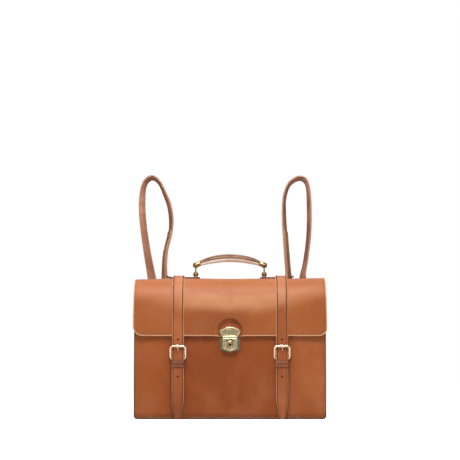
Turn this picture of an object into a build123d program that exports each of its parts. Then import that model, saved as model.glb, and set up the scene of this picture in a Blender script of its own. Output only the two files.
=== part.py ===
"""A leather briefcase with a lock, two buckled straps, a carrying handle and two backpack straps.

The bag stands on its base panel. +Z is up, +X is to the right seen from the front, and the front faces -Y.
The origin is the middle of the base panel's underside. All sizes are in millimetres.
"""

from build123d import *
from math import atan2, cos, degrees, radians, sin, sqrt
import os

os.makedirs("parts", exist_ok=True)

# Body: a front and a back panel joined by a gusset on each side and a base panel
BODY_WIDTH = 390.0
BODY_DEPTH = 110.0
LEATHER = 3.0
LINING = 0.8
FRONT_HEIGHT = 238.0
BACK_HEIGHT = 279.0
BASE_CORNER = 8.0
GUSSET_SPLIT = 175.0  # half width of the base panel, where the gussets take over

# Flap: over the top and down the front, following one profile
FLAP_WIDTH = 394.0
FLAP_LEATHER = 2.6
CREST_Z = 287.0  # outer surface at its highest
FLAP_FACE_Y = -61.6  # outer surface of the hanging front part
FLAP_BEND = 48.0  # radius over the front edge
FLAP_BACK_Y = 53.5
FLAP_BACK_Z = 283.2
FLAP_EDGE_Z = 168.0
FLAP_CORNER = 18.0
HINGE_Y, HINGE_Z = 54.5, 279.6
NOTCH_RADIUS = 23.7
NOTCH_Z = 180.0

# Buckled straps
STRAP_X = 105.5
STRAP_WIDTH = 25.0
STRAP_THICK = 2.8
STRAP_BACK_Y = 44.0
STRAP_BEND_Z = 204.0  # the strap is sewn to the flap above this, and hangs free below
TIP_Z = 1.0
TIP_WIDTH = 12.0
TAPER_Z = 36.0
HOLE_PITCH = 25.0
HOLE_RADIUS = 1.5
FIRST_HOLE_Z = 86.0

# Buckle
HEEL_BAR_RADIUS = 1.6
HEEL_Z = 121.5
CHAPE_FRONT_Y = FLAP_FACE_Y + 0.2
CHAPE_SKIN = 1.4
HEEL_Y = CHAPE_FRONT_Y + CHAPE_SKIN + HEEL_BAR_RADIUS
ROLLER_RADIUS = 2.4
ROLLER_Y = FLAP_FACE_Y - STRAP_THICK - 0.3 - ROLLER_RADIUS
ROLLER_Z = 147.2
BUCKLE_WINDOW = 26.6
BUCKLE_WIDTH = 33.6
RUNNING = 0.05  # radial clearance of a pin or bar in its bore

# Magnetic catch behind each buckle
MAGNET_RADIUS = 7.0
MAGNET_Z = 94.0

# Lock
BUTTON_Z = 150.5
BUTTON_RADIUS = 4.95
PLUG_RADIUS = 2.9
CASE_HALF = 14.6
FACE_HALF = 15.3
PLATE_HALF = 20.4
LOCK_TOP_Z = 164.0
LOCK_FACE_Y = -62.7
FACE_THICK = 1.4
TAB_THICK = 2.4
TAB_Y = FLAP_FACE_Y + FLAP_LEATHER + LINING  # front face of the leather tab behind the flap

# Handle
HANDLE_Y = -6.0
HANDLE_HALF = 71.0
LOWER_PIN_Z = 296.0
UPPER_PIN_Z = 315.0
PIN_RADIUS = 1.2
LINK_THICK = 3.0
BALL_RADIUS = 5.6
GRIP_TOP_Z = 336.5
GRIP_THICK = 15.0
GRIP_WIDTH = 24.0
RING_TAB_THICK = 1.8

# Backpack straps
CARRY_WIDTH = 20.0
CARRY_THICK = 3.2
PATCH_THICK = 2.0
INNER_X = 130.0
OUTER_X = 158.0
CARRY_Y = BODY_DEPTH / 2 + PATCH_THICK + 0.1  # front face of a strap lying on the back
CARRY_HINGE_Z = 262.0
CARRY_ROOT_Z = CARRY_HINGE_Z - 5.6  # top of the parts of the straps that lie on the back
CARRY_LEAN = 15.0  # degrees that the loops lean back
RING_LOW_Z, RING_HIGH_Z = 46.0, 57.0
RING_WIRE = 1.5
STUD_HEIGHTS = (72.0, 84.0)

HALF_WIDTH = BODY_WIDTH / 2
HALF_DEPTH = BODY_DEPTH / 2


def block(x0, x1, y0, y1, z0, z1):
    """A box between two corners."""
    size = (x1 - x0, y1 - y0, z1 - z0)
    return Pos((x0 + x1) / 2, (y0 + y1) / 2, (z0 + z1) / 2) * Box(*size)


def rod_x(x0, x1, y, z, radius):
    """A cylinder along X."""
    return Pos((x0 + x1) / 2, y, z) * Rot(0, 90, 0) * Cylinder(radius, x1 - x0)


def rod_y(x, y0, y1, z, radius):
    """A cylinder along Y."""
    return Pos(x, (y0 + y1) / 2, z) * Rot(90, 0, 0) * Cylinder(radius, y1 - y0)


def front_face(points, y0, y1):
    """A plate with an outline in the XZ plane, between two depths."""
    outline = make_face(Polyline(*[(x, y0, z) for x, z in points], close=True))
    return extrude(outline, amount=y1 - y0, dir=(0, 1, 0))


def side_face(points, x0, x1):
    """A plate with an outline in the YZ plane, between two widths."""
    outline = make_face(Polyline(*[(x0, y, z) for y, z in points], close=True))
    return extrude(outline, amount=x1 - x0, dir=(1, 0, 0))


def save(shape, name):
    export_step(shape, f"parts/{name}.step")


def both_sides(make):
    """The left and the right copy of a small part, as one group of separate solids."""
    solids = [s for side in (-1, 1) for s in make(side).solids()]
    return Compound(children=solids)


# --- flap profile ---------------------------------------------------------------------------

ARC_Y = FLAP_FACE_Y + FLAP_BEND  # where the top meets the bend over the front edge
ARC_Z = CREST_Z - FLAP_BEND
TOP_RADIUS = ((FLAP_BACK_Y - ARC_Y) ** 2 + (CREST_Z - FLAP_BACK_Z) ** 2) / (2 * (CREST_Z - FLAP_BACK_Z))


def top_z(y, offset=0.0):
    """Height of the top surface at depth y, moved outwards by offset."""
    return CREST_Z - TOP_RADIUS + sqrt((TOP_RADIUS + offset) ** 2 - (y - ARC_Y) ** 2)


def profile_edges(offset, back_y, end_z):
    """The flap's outer line from back to front edge, moved outwards by offset, and its two ends."""
    diagonal = (FLAP_BEND + offset) * sqrt(0.5)
    back = (back_y, top_z(back_y, offset))
    middle_y = (back_y + ARC_Y) / 2
    crest = (ARC_Y, CREST_Z + offset)
    front = (FLAP_FACE_Y - offset, ARC_Z)
    end = (FLAP_FACE_Y - offset, end_z)
    edges = [
        ThreePointArc(back, (middle_y, top_z(middle_y, offset)), crest),
        ThreePointArc(crest, (ARC_Y - diagonal, ARC_Z + diagonal), front),
        Line(front, end),
    ]
    return edges, back, end


def flap_band(inner, outer, width, x=0.0, back_y=FLAP_BACK_Y, end_z=FLAP_EDGE_Z):
    """A strip that follows the flap's outer surface between two offsets from it."""
    inner_edges, inner_back, inner_end = profile_edges(inner, back_y, end_z)
    outer_edges, outer_back, outer_end = profile_edges(outer, back_y, end_z)
    ends = [Line(inner_back, outer_back), Line(inner_end, outer_end)]
    section = make_face(inner_edges + outer_edges + ends)
    return Pos(x, 0, 0) * extrude(Plane.YZ * section, amount=width / 2, both=True)


def lock_notch(radius):
    """The half-round cut in the flap's lower edge, above the lock."""
    deep = (FLAP_FACE_Y - 5, FLAP_FACE_Y + 12)
    return rod_y(0, *deep, NOTCH_Z, radius) + block(-radius, radius, *deep, FLAP_EDGE_Z - 5, NOTCH_Z)


def round_lower_corners(band, radius):
    """Rounds the two corners at the flap's lower edge."""
    corners = band.edges().filter_by(Axis.Y).group_by(Axis.Z)[0]
    return fillet(corners, radius)


def make_flap():
    leather = flap_band(-FLAP_LEATHER, 0, FLAP_WIDTH)
    leather = round_lower_corners(leather, FLAP_CORNER) - lock_notch(NOTCH_RADIUS)
    lining = flap_band(-FLAP_LEATHER - LINING, -FLAP_LEATHER, FLAP_WIDTH - 8, end_z=FLAP_EDGE_Z + 3)
    lining = round_lower_corners(lining, FLAP_CORNER) - lock_notch(NOTCH_RADIUS)
    save(leather, "flap_leather")
    save(lining, "flap_lining")


# --- body -----------------------------------------------------------------------------------


def rounded_panel(y0, y1, height):
    """A front or back panel with rounded lower corners."""
    panel = block(-HALF_WIDTH, HALF_WIDTH, y0, y1, 0, height)
    return fillet(panel.edges().filter_by(Axis.Y).group_by(Axis.Z)[0], BASE_CORNER)


def gusset_ring(inset, thick):
    """A U-shaped strip along the body's outline, as deep as the space between the panels."""
    inner_depth = HALF_DEPTH - LEATHER
    outer = block(-HALF_WIDTH + inset, HALF_WIDTH - inset, -inner_depth, inner_depth, inset, BACK_HEIGHT)
    outer = fillet(outer.edges().filter_by(Axis.Y).group_by(Axis.Z)[0], BASE_CORNER - inset)
    grown = inset + thick
    inner = block(-HALF_WIDTH + grown, HALF_WIDTH - grown, -HALF_DEPTH, HALF_DEPTH, grown, BACK_HEIGHT + 1)
    inner = fillet(inner.edges().filter_by(Axis.Y).group_by(Axis.Z)[0], BASE_CORNER - grown)
    return outer - inner


def above_mouth(front_z, back_z):
    """The space above a slanted line from the front panel's top up to the back panel's."""
    reach = HALF_DEPTH + 1
    outline = [(-reach, front_z), (reach, back_z), (reach, 300), (-reach, 300)]
    return side_face(outline, -HALF_WIDTH - 1, HALF_WIDTH + 1)


def make_body():
    inner_depth = HALF_DEPTH - LEATHER
    front = rounded_panel(-HALF_DEPTH, -inner_depth, FRONT_HEIGHT)
    lining_front = block(-188, 188, -inner_depth, -inner_depth + LINING, 6.5, FRONT_HEIGHT - 2)
    for x, z in LOCK_SCREWS:
        hole = rod_y(x, -HALF_DEPTH - 1, -inner_depth + 2, z, SCREW_RADIUS)
        front -= hole
        lining_front -= hole
    save(front, "front_panel")
    save(lining_front, "front_lining")
    save(rounded_panel(inner_depth, HALF_DEPTH, BACK_HEIGHT), "back_panel")
    save(block(-188, 188, inner_depth - LINING, inner_depth, 6.5, BACK_HEIGHT - 3), "back_lining")

    ring = gusset_ring(0, LEATHER) - above_mouth(FRONT_HEIGHT, 262)
    reach = HALF_WIDTH + 1
    save(ring & block(-GUSSET_SPLIT, GUSSET_SPLIT, -reach, reach, -1, 40), "base_panel")
    save(ring & block(-reach, -GUSSET_SPLIT, -reach, reach, -1, 300), "left_gusset")
    save(ring & block(GUSSET_SPLIT, reach, -reach, reach, -1, 300), "right_gusset")

    depth = inner_depth - LINING - 0.2
    cheeks = [block(-HALF_WIDTH + LEATHER, -HALF_WIDTH + LEATHER + LINING, -depth, depth, 12, 300)]
    cheeks.append(mirror(cheeks[0], Plane.YZ))
    save(Compound(children=[c - above_mouth(FRONT_HEIGHT - 3, 259) for c in cheeks]), "gusset_linings")
    save(block(-184, 184, -depth, depth, LEATHER, LEATHER + 2.0), "base_board")
    save(block(-190, 190, -1.1, 1.1, 12, 226), "divider")
    pocket_back = inner_depth - LINING
    save(block(-115, 115, pocket_back - 1.6, pocket_back, 62, 205), "slip_pocket")


# --- lock -----------------------------------------------------------------------------------

LOCK_SCREWS = [(-16.7, 144.0), (16.7, 144.0), (-16.7, 159.0), (16.7, 159.0)]
SCREW_RADIUS = 1.5
BASE_THICK = 1.2
CASE_WALL = 1.2


def make_lock():
    panel_y = -HALF_DEPTH
    base_y = panel_y - BASE_THICK
    face_back = LOCK_FACE_Y + FACE_THICK
    top = LOCK_TOP_Z + 1.5
    plate_line = [(-PLATE_HALF, top), (PLATE_HALF, top), (PLATE_HALF, 140), (0, 134.3), (-PLATE_HALF, 140)]
    base = front_face(plate_line, base_y, panel_y)
    case = block(-CASE_HALF, CASE_HALF, face_back, base_y, 138, LOCK_TOP_Z)
    inner_half = CASE_HALF - CASE_WALL
    case -= block(-inner_half, inner_half, face_back, base_y, 139.2, LOCK_TOP_Z - CASE_WALL)
    case -= block(-9.5, 9.5, face_back, base_y, 149, LOCK_TOP_Z + 1)
    rims = [block(s * 19.6 - 0.8, s * 19.6 + 0.8, base_y - 2.2, base_y, 140.5, top) for s in (-1, 1)]
    base = base + case + rims[0] + rims[1]
    for x, z in LOCK_SCREWS:
        base -= rod_y(x, base_y - 1, panel_y + 1, z, SCREW_RADIUS)
    save(base, "lock_base")

    face_right = [(FACE_HALF, LOCK_TOP_Z), (FACE_HALF, 142)]
    face_left = [(-FACE_HALF, 142), (-FACE_HALF, LOCK_TOP_Z)]
    face = front_face(face_right + [(0, 136)] + face_left, LOCK_FACE_Y, face_back)
    face = chamfer(face.faces().sort_by(Axis.Y)[0].edges(), 0.6)
    face += rod_y(0, LOCK_FACE_Y - 0.6, LOCK_FACE_Y, BUTTON_Z, 7.2)
    face -= rod_y(0, LOCK_FACE_Y - 2, face_back + 1, BUTTON_Z, BUTTON_RADIUS + RUNNING)
    groove = rod_y(0, LOCK_FACE_Y - 1, LOCK_FACE_Y + 0.5, BUTTON_Z, 9.9)
    groove -= rod_y(0, LOCK_FACE_Y - 1, LOCK_FACE_Y + 0.5, BUTTON_Z, 8.7)
    face -= groove & block(-7, 7, LOCK_FACE_Y - 1, LOCK_FACE_Y + 0.5, BUTTON_Z + 5, BUTTON_Z + 12)
    save(face, "lock_face")

    button_front = LOCK_FACE_Y - 1.4
    button = rod_y(0, button_front, -58.6, BUTTON_Z, BUTTON_RADIUS)
    button += rod_y(0, face_back + 0.1, face_back + 1.1, BUTTON_Z, 6.2)
    button -= rod_y(0, button_front - 1, -58, BUTTON_Z, PLUG_RADIUS + RUNNING)
    save(button, "lock_button")
    plug = rod_y(0, button_front + 0.2, -58.6, BUTTON_Z, PLUG_RADIUS)
    plug -= rod_y(0, button_front, button_front + 4, BUTTON_Z, 1.35)
    plug -= block(-0.5, 0.5, button_front, button_front + 4, BUTTON_Z - 2.3, BUTTON_Z)
    save(plug, "lock_plug")

    latch = block(-6, 6, base_y - 1.0, base_y - 0.2, 142, 159)
    latch += block(-4, 4, base_y - 1.0, base_y - 0.2, 159, 161.3)
    save(latch, "lock_latch")

    inside = panel_y + LEATHER + LINING
    backing = block(-20, 20, inside, inside + 1.0, 140, 163)
    for x, z in LOCK_SCREWS:
        backing -= rod_y(x, inside - 1, inside + 2, z, SCREW_RADIUS)
    save(backing, "lock_backing")
    screws = []
    for x, z in LOCK_SCREWS:
        shank = rod_y(x, base_y - 0.6, inside + 1.6, z, SCREW_RADIUS)
        screws.append(shank + rod_y(x, inside + 1.0, inside + 1.9, z, 2.8))
    save(Compound(children=screws), "lock_screws")


def make_hasp():
    """The leather tab under the flap's notch, with the fan-shaped plate and its tongue."""
    tab = block(-30, 30, TAB_Y, TAB_Y + TAB_THICK, 166.6, 217)
    tab = fillet(tab.edges().filter_by(Axis.Y).group_by(Axis.Z)[-1], 24)
    tab -= block(-8.3, 8.3, TAB_Y, TAB_Y + 1.4, 166, 173.2)
    rivet_places = [(-14.0, 176.0), (14.0, 176.0)]
    for x, z in rivet_places:
        tab -= rod_y(x, TAB_Y - 1, TAB_Y + TAB_THICK + 1, z, 1.6)
    save(tab, "lock_tab")

    plate_front = TAB_Y - 2.7
    neck = LOCK_TOP_Z + 0.5
    left, right = (-22.4, 0, 177.8), (22.4, 0, 177.8)
    arc = ThreePointArc(left, (0, 0, 186.0), right)
    sides = Polyline(right, (FACE_HALF, 0, neck), (-FACE_HALF, 0, neck), left)
    outline = Pos(0, plate_front, 0) * make_face(arc.edges() + sides.edges())
    plate = extrude(outline, amount=2.7, dir=(0, 1, 0))
    plate = chamfer(plate.faces().sort_by(Axis.Y)[0].edges(), 0.7)
    inset = scale(outline, by=(0.78, 1, 0.70))
    inset = Pos(0, 0, 175.0 - 175.0 * 0.70) * inset
    plate -= extrude(inset, amount=0.8, dir=(0, 1, 0))
    save(plate, "hasp_plate")
    save(block(-8, 8, TAB_Y, TAB_Y + 1.2, 161.9, 173), "hasp_tongue")
    rivets = []
    for x, z in rivet_places:
        shank = rod_y(x, TAB_Y, TAB_Y + TAB_THICK, z, 1.6)
        rivets.append(shank + rod_y(x, TAB_Y + TAB_THICK, TAB_Y + TAB_THICK + 0.5, z, 3.0))
    save(Compound(children=rivets), "hasp_rivets")


# --- buckled straps -------------------------------------------------------------------------


def strap_outline(x):
    """The hanging part of a strap, tapered to its tip."""
    half, tip = STRAP_WIDTH / 2, TIP_WIDTH / 2
    right = [(half, STRAP_BEND_Z - 0.5), (half, TAPER_Z), (tip, TIP_Z)]
    return [(x + px, z) for px, z in right] + [(x - px, z) for px, z in reversed(right)]


def make_prong(x):
    """A bent prong: an eye on the heel bar, and a shank out through the strap and over the roller."""
    thick = 2.4
    foot = [(HEEL_Y, HEEL_Z), (HEEL_Y - 1.8, HEEL_Z + 10.5)]
    line = foot + [(ROLLER_Y - 4.0, ROLLER_Z - 0.8), (ROLLER_Y - 4.2, ROLLER_Z + 2.0)]
    prong = rod_x(x - 1.4, x + 1.4, HEEL_Y, HEEL_Z, 2.9)
    for (y0, z0), (y1, z1) in zip(line, line[1:]):
        length = sqrt((y1 - y0) ** 2 + (z1 - z0) ** 2)
        lean = degrees(atan2(y0 - y1, z1 - z0))
        prong += Pos(x, (y0 + y1) / 2, (z0 + z1) / 2) * Rot(lean, 0, 0) * Box(2.8, thick, length)
        prong += rod_x(x - 1.4, x + 1.4, y1, z1, thick / 2)
    return prong - rod_x(x - 3, x + 3, HEEL_Y, HEEL_Z, HEEL_BAR_RADIUS + RUNNING)


def make_frame(x):
    """Two side bars that slant out from the heel bar behind the strap to the roller bar in front of it."""
    run_y, run_z = ROLLER_Y - HEEL_Y, ROLLER_Z - HEEL_Z
    lean = degrees(atan2(-run_y, run_z))
    length = sqrt(run_y**2 + run_z**2)
    bar = (BUCKLE_WIDTH - BUCKLE_WINDOW) / 2
    middle = ((HEEL_Y + ROLLER_Y) / 2, (HEEL_Z + ROLLER_Z) / 2)
    frame = rod_x(x - 15, x + 15, HEEL_Y, HEEL_Z, HEEL_BAR_RADIUS)
    frame += rod_x(x - 15, x + 15, ROLLER_Y, ROLLER_Z, HEEL_BAR_RADIUS)
    for side in (-1, 1):
        post = fillet(Box(bar, 3.4, length + 4.4).edges().filter_by(Axis.Z), 1.0)
        post = fillet(post.edges().filter_by(Axis.Y), 1.2)
        frame += Pos(x + side * (BUCKLE_WINDOW + bar) / 2, *middle) * Rot(lean, 0, 0) * post
    return frame


def make_chape(x):
    """The leather tab behind the strap, folded round the buckle's heel bar."""
    half = STRAP_WIDTH / 2 - 0.3
    fold = HEEL_BAR_RADIUS + CHAPE_SKIN
    chape = block(x - half, x + half, CHAPE_FRONT_Y, CHAPE_FRONT_Y + 3.0, 83, HEEL_Z - 1)
    chape += rod_x(x - half, x + half, HEEL_Y, HEEL_Z, fold)
    chape -= rod_x(x - half - 1, x + half + 1, HEEL_Y, HEEL_Z, HEEL_BAR_RADIUS + 0.02)
    chape -= block(x - 2.0, x + 2.0, CHAPE_FRONT_Y - 1, CHAPE_FRONT_Y + 7, HEEL_Z - 4, HEEL_Z + 5)
    return chape


def make_keeper(x):
    """The leather loop that holds the strap down below the buckle."""
    low, high = 105.0, 117.6
    half, skin = STRAP_WIDTH / 2 + 0.2, 1.4
    front, back = FLAP_FACE_Y - STRAP_THICK - 0.2, CHAPE_FRONT_Y + 3.1
    keeper = block(x - half - skin, x + half + skin, front - skin, back + 1.0, low, high)
    keeper -= block(x - half, x + half, front, back, low - 1, high + 1)
    return keeper


def make_straps():
    tabs = ring_tab(-1), ring_tab(1)
    for side, name in ((-1, "left"), (1, "right")):
        x = side * STRAP_X
        upper = flap_band(0, STRAP_THICK, STRAP_WIDTH, x, STRAP_BACK_Y, STRAP_BEND_Z + 0.5)
        hump = flap_band(0, STRAP_THICK + RING_TAB_THICK, STRAP_WIDTH, x, HANDLE_Y + 14, 250)
        upper += hump & block(x - 13, x + 13, HANDLE_Y - 14, HANDLE_Y + 14, 270, 300)
        save(upper - tabs[0] - tabs[1], f"{name}_strap_upper")

        lower = front_face(strap_outline(x), FLAP_FACE_Y - STRAP_THICK, FLAP_FACE_Y)
        through = (FLAP_FACE_Y - 6, FLAP_FACE_Y + 2)
        for i in (0, 1, 3):
            lower -= rod_y(x, *through, FIRST_HOLE_Z + i * HOLE_PITCH, HOLE_RADIUS)
        in_use = block(x - 1.8, x + 1.8, *through, HEEL_Z + 8.6, HEEL_Z + 19.8)
        save(lower - in_use, f"{name}_strap_lower")
        save(make_frame(x), f"{name}_buckle_frame")
        save(make_prong(x), f"{name}_buckle_prong")
        roller = rod_x(x - 12, x + 12, ROLLER_Y, ROLLER_Z, ROLLER_RADIUS)
        roller -= rod_x(x - 13, x + 13, ROLLER_Y, ROLLER_Z, HEEL_BAR_RADIUS + RUNNING)
        save(roller, f"{name}_buckle_roller")
        save(make_chape(x), f"{name}_chape")
        save(make_keeper(x), f"{name}_keeper")
        cap_front = CHAPE_FRONT_Y + 3.0
        save(rod_y(x, cap_front, cap_front + 1.2, MAGNET_Z, MAGNET_RADIUS), f"{name}_magnet_cap")
    base_y = -HALF_DEPTH
    bases = both_sides(lambda s: rod_y(s * STRAP_X, base_y - 1.8, base_y, MAGNET_Z, MAGNET_RADIUS))
    save(bases, "magnet_bases")


# --- handle ---------------------------------------------------------------------------------


def ring_tab(side):
    """A leather strip on the crest, from under the buckled strap to the handle's bracket."""
    low, high = sorted((side * 132.0, side * (HANDLE_HALF - 8)))
    band = flap_band(0, RING_TAB_THICK, FLAP_WIDTH)
    return band & block(low, high, HANDLE_Y - 10, HANDLE_Y + 10, 270, 300)


def make_bracket(side):
    """A ball on a round foot, slotted for the link."""
    x = side * HANDLE_HALF
    foot_z = CREST_Z + RING_TAB_THICK
    bracket = Pos(x, HANDLE_Y, foot_z + 0.6) * Cylinder(7.0, 1.2)
    bracket += Pos(x, HANDLE_Y, (foot_z + LOWER_PIN_Z) / 2) * Cylinder(4.0, LOWER_PIN_Z - foot_z)
    bracket += Pos(x, HANDLE_Y, LOWER_PIN_Z) * Sphere(BALL_RADIUS)
    half = LINK_THICK / 2 + 0.2
    bracket -= block(x - half, x + half, HANDLE_Y - 9, HANDLE_Y + 9, LOWER_PIN_Z - 4.3, LOWER_PIN_Z + 8)
    return bracket - rod_x(x - 8, x + 8, HANDLE_Y, LOWER_PIN_Z, PIN_RADIUS)


def make_link(side):
    """A flat link with an eye at each end."""
    x0, x1 = side * HANDLE_HALF - LINK_THICK / 2, side * HANDLE_HALF + LINK_THICK / 2
    link = block(x0, x1, HANDLE_Y - 2.2, HANDLE_Y + 2.2, LOWER_PIN_Z, UPPER_PIN_Z)
    for z in (LOWER_PIN_Z, UPPER_PIN_Z):
        link += rod_x(x0, x1, HANDLE_Y, z, 3.6)
    for z in (LOWER_PIN_Z, UPPER_PIN_Z):
        link -= rod_x(x0 - 1, x1 + 1, HANDLE_Y, z, PIN_RADIUS + RUNNING)
    return link


GRIP_RISE = GRIP_TOP_Z - GRIP_THICK / 2 - UPPER_PIN_Z  # of the grip's middle line above the pins
GRIP_RADIUS = (HANDLE_HALF**2 + GRIP_RISE**2) / (2 * GRIP_RISE)
GRIP_END_ANGLE = degrees(atan2(HANDLE_HALF, GRIP_RADIUS - GRIP_RISE))


def make_handle_end(side):
    """A slotted ball that holds the link's upper pin, and the socket that grips the leather."""
    x = side * HANDLE_HALF
    ball = Pos(x, HANDLE_Y, UPPER_PIN_Z) * Sphere(BALL_RADIUS + 0.6)
    along = Pos(x, HANDLE_Y, UPPER_PIN_Z) * Rot(0, -side * (90 - GRIP_END_ANGLE), 0)
    end = ball + along * Pos(0, 0, 7.0) * Cylinder(5.2, 8.0)
    half = LINK_THICK / 2 + 0.2
    slot = block(x - half, x + half, HANDLE_Y - 9, HANDLE_Y + 9, UPPER_PIN_Z - 9, UPPER_PIN_Z + 4.2)
    return end - slot - rod_x(x - 9, x + 9, HANDLE_Y, UPPER_PIN_Z, PIN_RADIUS)


def grip_band(low, high, end_gap):
    """Part of the arched grip, between two offsets from its middle line."""
    centre_z = UPPER_PIN_Z + GRIP_RISE - GRIP_RADIUS
    wedge = GRIP_END_ANGLE - degrees(end_gap / GRIP_RADIUS)
    ring = Circle(GRIP_RADIUS + high) - Circle(GRIP_RADIUS + low)
    reach = 2 * GRIP_RADIUS
    corner = (reach * sin(radians(wedge)), reach * cos(radians(wedge)))
    sector = make_face(Polyline((0, 0), (-corner[0], corner[1]), (corner[0], corner[1]), close=True))
    band = extrude(Plane.XZ * (ring & sector), amount=GRIP_WIDTH / 2, both=True)
    return Pos(0, HANDLE_Y, centre_z) * band


def make_pin(side, z):
    """A link's pin, whose ends sit in the ball's two halves."""
    x, reach = side * HANDLE_HALF, BALL_RADIUS - 0.4
    return rod_x(x - reach, x + reach, HANDLE_Y, z, PIN_RADIUS)


def make_handle():
    save(both_sides(ring_tab), "ring_tabs")
    save(both_sides(make_bracket), "handle_brackets")
    save(both_sides(lambda side: make_pin(side, LOWER_PIN_Z)), "lower_pins")
    for side, name in ((-1, "left"), (1, "right")):
        save(make_link(side), f"{name}_handle_link")
        save(make_handle_end(side), f"{name}_handle_end")
    save(both_sides(lambda side: make_pin(side, UPPER_PIN_Z)), "upper_pins")

    half = GRIP_THICK / 2
    waist = Pos(0, HANDLE_Y, UPPER_PIN_Z) * scale(Cylinder(1, 80), by=(HANDLE_HALF + 4, GRIP_WIDTH / 2, 1))
    top = (grip_band(-1.0, half, 11.5) & waist)
    under = (grip_band(-half, -1.0, 11.5) & waist)
    save(top, "handle_grip")
    save(under, "handle_underside")


# --- backpack straps ------------------------------------------------------------------------

LEFT_LOOP = [
    (-130, 262.4), (-139, 297), (-138, 345), (-127, 406), (-128, 437), (-140, 472), (-155, 506),
    (-172, 515), (-188, 497), (-191, 457), (-187, 406), (-177, 345), (-168, 300), (-158, 262.4),
]
RIGHT_LOOP = [
    (130, 262.4), (124, 300), (119, 389), (117, 440), (119, 474), (130, 502),
    (152, 514), (168, 502), (172, 457), (170, 389), (162, 330), (156, 297), (158, 262.4),
]
LOOP_IN_PLANE = 6.0  # the ribbon's size across its run, seen from the front
LOOP_DEPTH = 10.6  # and from front to back, where its section has the strap's true area


def make_loop(points):
    """One loop as a ribbon in a plane that leans back from the hinge line."""
    stretch = 1 / cos(radians(CARRY_LEAN))
    flat = [(x, (z - CARRY_HINGE_Z) * stretch) for x, z in points]
    middle = Spline(*flat)
    steps = 4 * len(flat)
    sides = []
    for offset in (-LOOP_IN_PLANE / 2, LOOP_IN_PLANE / 2):
        moved = []
        for i in range(steps + 1):
            point, tangent = middle @ (i / steps), middle % (i / steps)
            moved.append((point.X - offset * tangent.Y, point.Y + offset * tangent.X))
        sides.append(moved)
    ends = [Line(sides[0][i], sides[1][i]) for i in (0, -1)]
    edges = [Spline(*sides[0]), Spline(*sides[1])] + ends
    ribbon = extrude(Plane.XZ * make_face(edges), amount=LOOP_DEPTH / 2, both=True)
    centre_y = CARRY_Y + LOOP_DEPTH / 2 + 1.0
    return Pos(0, centre_y, CARRY_HINGE_Z) * Rot(-CARRY_LEAN, 0, 0) * ribbon


def make_ring(side):
    """A rectangular wire loop between the strap's end and the chape at the base."""
    x = side * OUTER_X
    y = CARRY_Y + CARRY_THICK / 2
    half = CARRY_WIDTH / 2 + 2.2
    ring = rod_x(x - half, x + half, y, RING_LOW_Z, RING_WIRE)
    ring += rod_x(x - half, x + half, y, RING_HIGH_Z, RING_WIRE)
    for end in (x - half, x + half):
        ring += Pos(end, y, (RING_LOW_Z + RING_HIGH_Z) / 2) * Cylinder(RING_WIRE, RING_HIGH_Z - RING_LOW_Z)
        ring += Pos(end, y, RING_LOW_Z) * Sphere(RING_WIRE)
        ring += Pos(end, y, RING_HIGH_Z) * Sphere(RING_WIRE)
    return ring


def make_leg(side):
    """The strap down the bag's back, folded round the ring's upper bar."""
    x = side * OUTER_X
    half, y = CARRY_WIDTH / 2, CARRY_Y + CARRY_THICK / 2
    leg = block(x - half, x + half, CARRY_Y, CARRY_Y + CARRY_THICK, RING_HIGH_Z, CARRY_ROOT_Z)
    leg += rod_x(x - half, x + half, y, RING_HIGH_Z, RING_WIRE + 1.8)
    leg -= rod_x(x - half - 1, x + half + 1, y, RING_HIGH_Z, RING_WIRE + 0.02)
    for z in STUD_HEIGHTS:
        leg -= rod_y(x, CARRY_Y - 1, CARRY_Y + CARRY_THICK + 1, z, 1.8)
    return leg


def make_base_chape(side):
    """A leather tab on the bag's back, folded round the ring's lower bar."""
    x = side * OUTER_X
    half, y = CARRY_WIDTH / 2 + 0.4, CARRY_Y + CARRY_THICK / 2
    chape = block(x - half - 1.5, x + half + 1.5, HALF_DEPTH, HALF_DEPTH + 3.0, 14, 40)
    chape += block(x - half, x + half, HALF_DEPTH + 0.3, HALF_DEPTH + 3.0, 38, RING_LOW_Z)
    chape += rod_x(x - half, x + half, y, RING_LOW_Z, RING_WIRE + 1.6)
    return chape - rod_x(x - half - 3, x + half + 3, y, RING_LOW_Z, RING_WIRE + 0.02)


def make_stud_pair(side):
    """Two screw studs that close the strap's fold."""
    x, face = side * OUTER_X, CARRY_Y + CARRY_THICK
    studs = [rod_y(x, CARRY_Y, face, z, 1.8) + rod_y(x, face, face + 1.2, z, 3.6) for z in STUD_HEIGHTS]
    return Compound(children=studs)


def make_patch(side):
    """The leather patch under a strap's inner end."""
    x, half = side * INNER_X, CARRY_WIDTH / 2 + 2.5
    return block(x - half, x + half, HALF_DEPTH, HALF_DEPTH + PATCH_THICK, 222, 260)


def make_root(side):
    """A strap's inner end, sewn on the patch."""
    x, half = side * INNER_X, CARRY_WIDTH / 2
    return block(x - half, x + half, CARRY_Y, CARRY_Y + CARRY_THICK, 226, CARRY_ROOT_Z)


def make_carry_straps():
    save(both_sides(make_patch), "top_anchors")
    save(both_sides(make_root), "carry_strap_roots")
    save(both_sides(make_leg), "carry_strap_legs")
    save(both_sides(make_base_chape), "base_chapes")
    save(both_sides(make_ring), "base_rings")
    save(both_sides(make_stud_pair), "strap_studs")
    save(make_loop(LEFT_LOOP), "left_carry_loop")
    save(make_loop(RIGHT_LOOP), "right_carry_loop")


make_body()
make_flap()
make_lock()
make_hasp()
make_straps()
make_handle()
make_carry_straps()
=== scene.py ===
"""Looks of a leather briefcase with a press lock, two buckled straps, a handle and two backpack straps.
"""

from math import atan2, cos, degrees, pi, radians, sin, sqrt, tan

import bmesh
import bpy
import numpy as np
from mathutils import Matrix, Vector, noise


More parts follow.
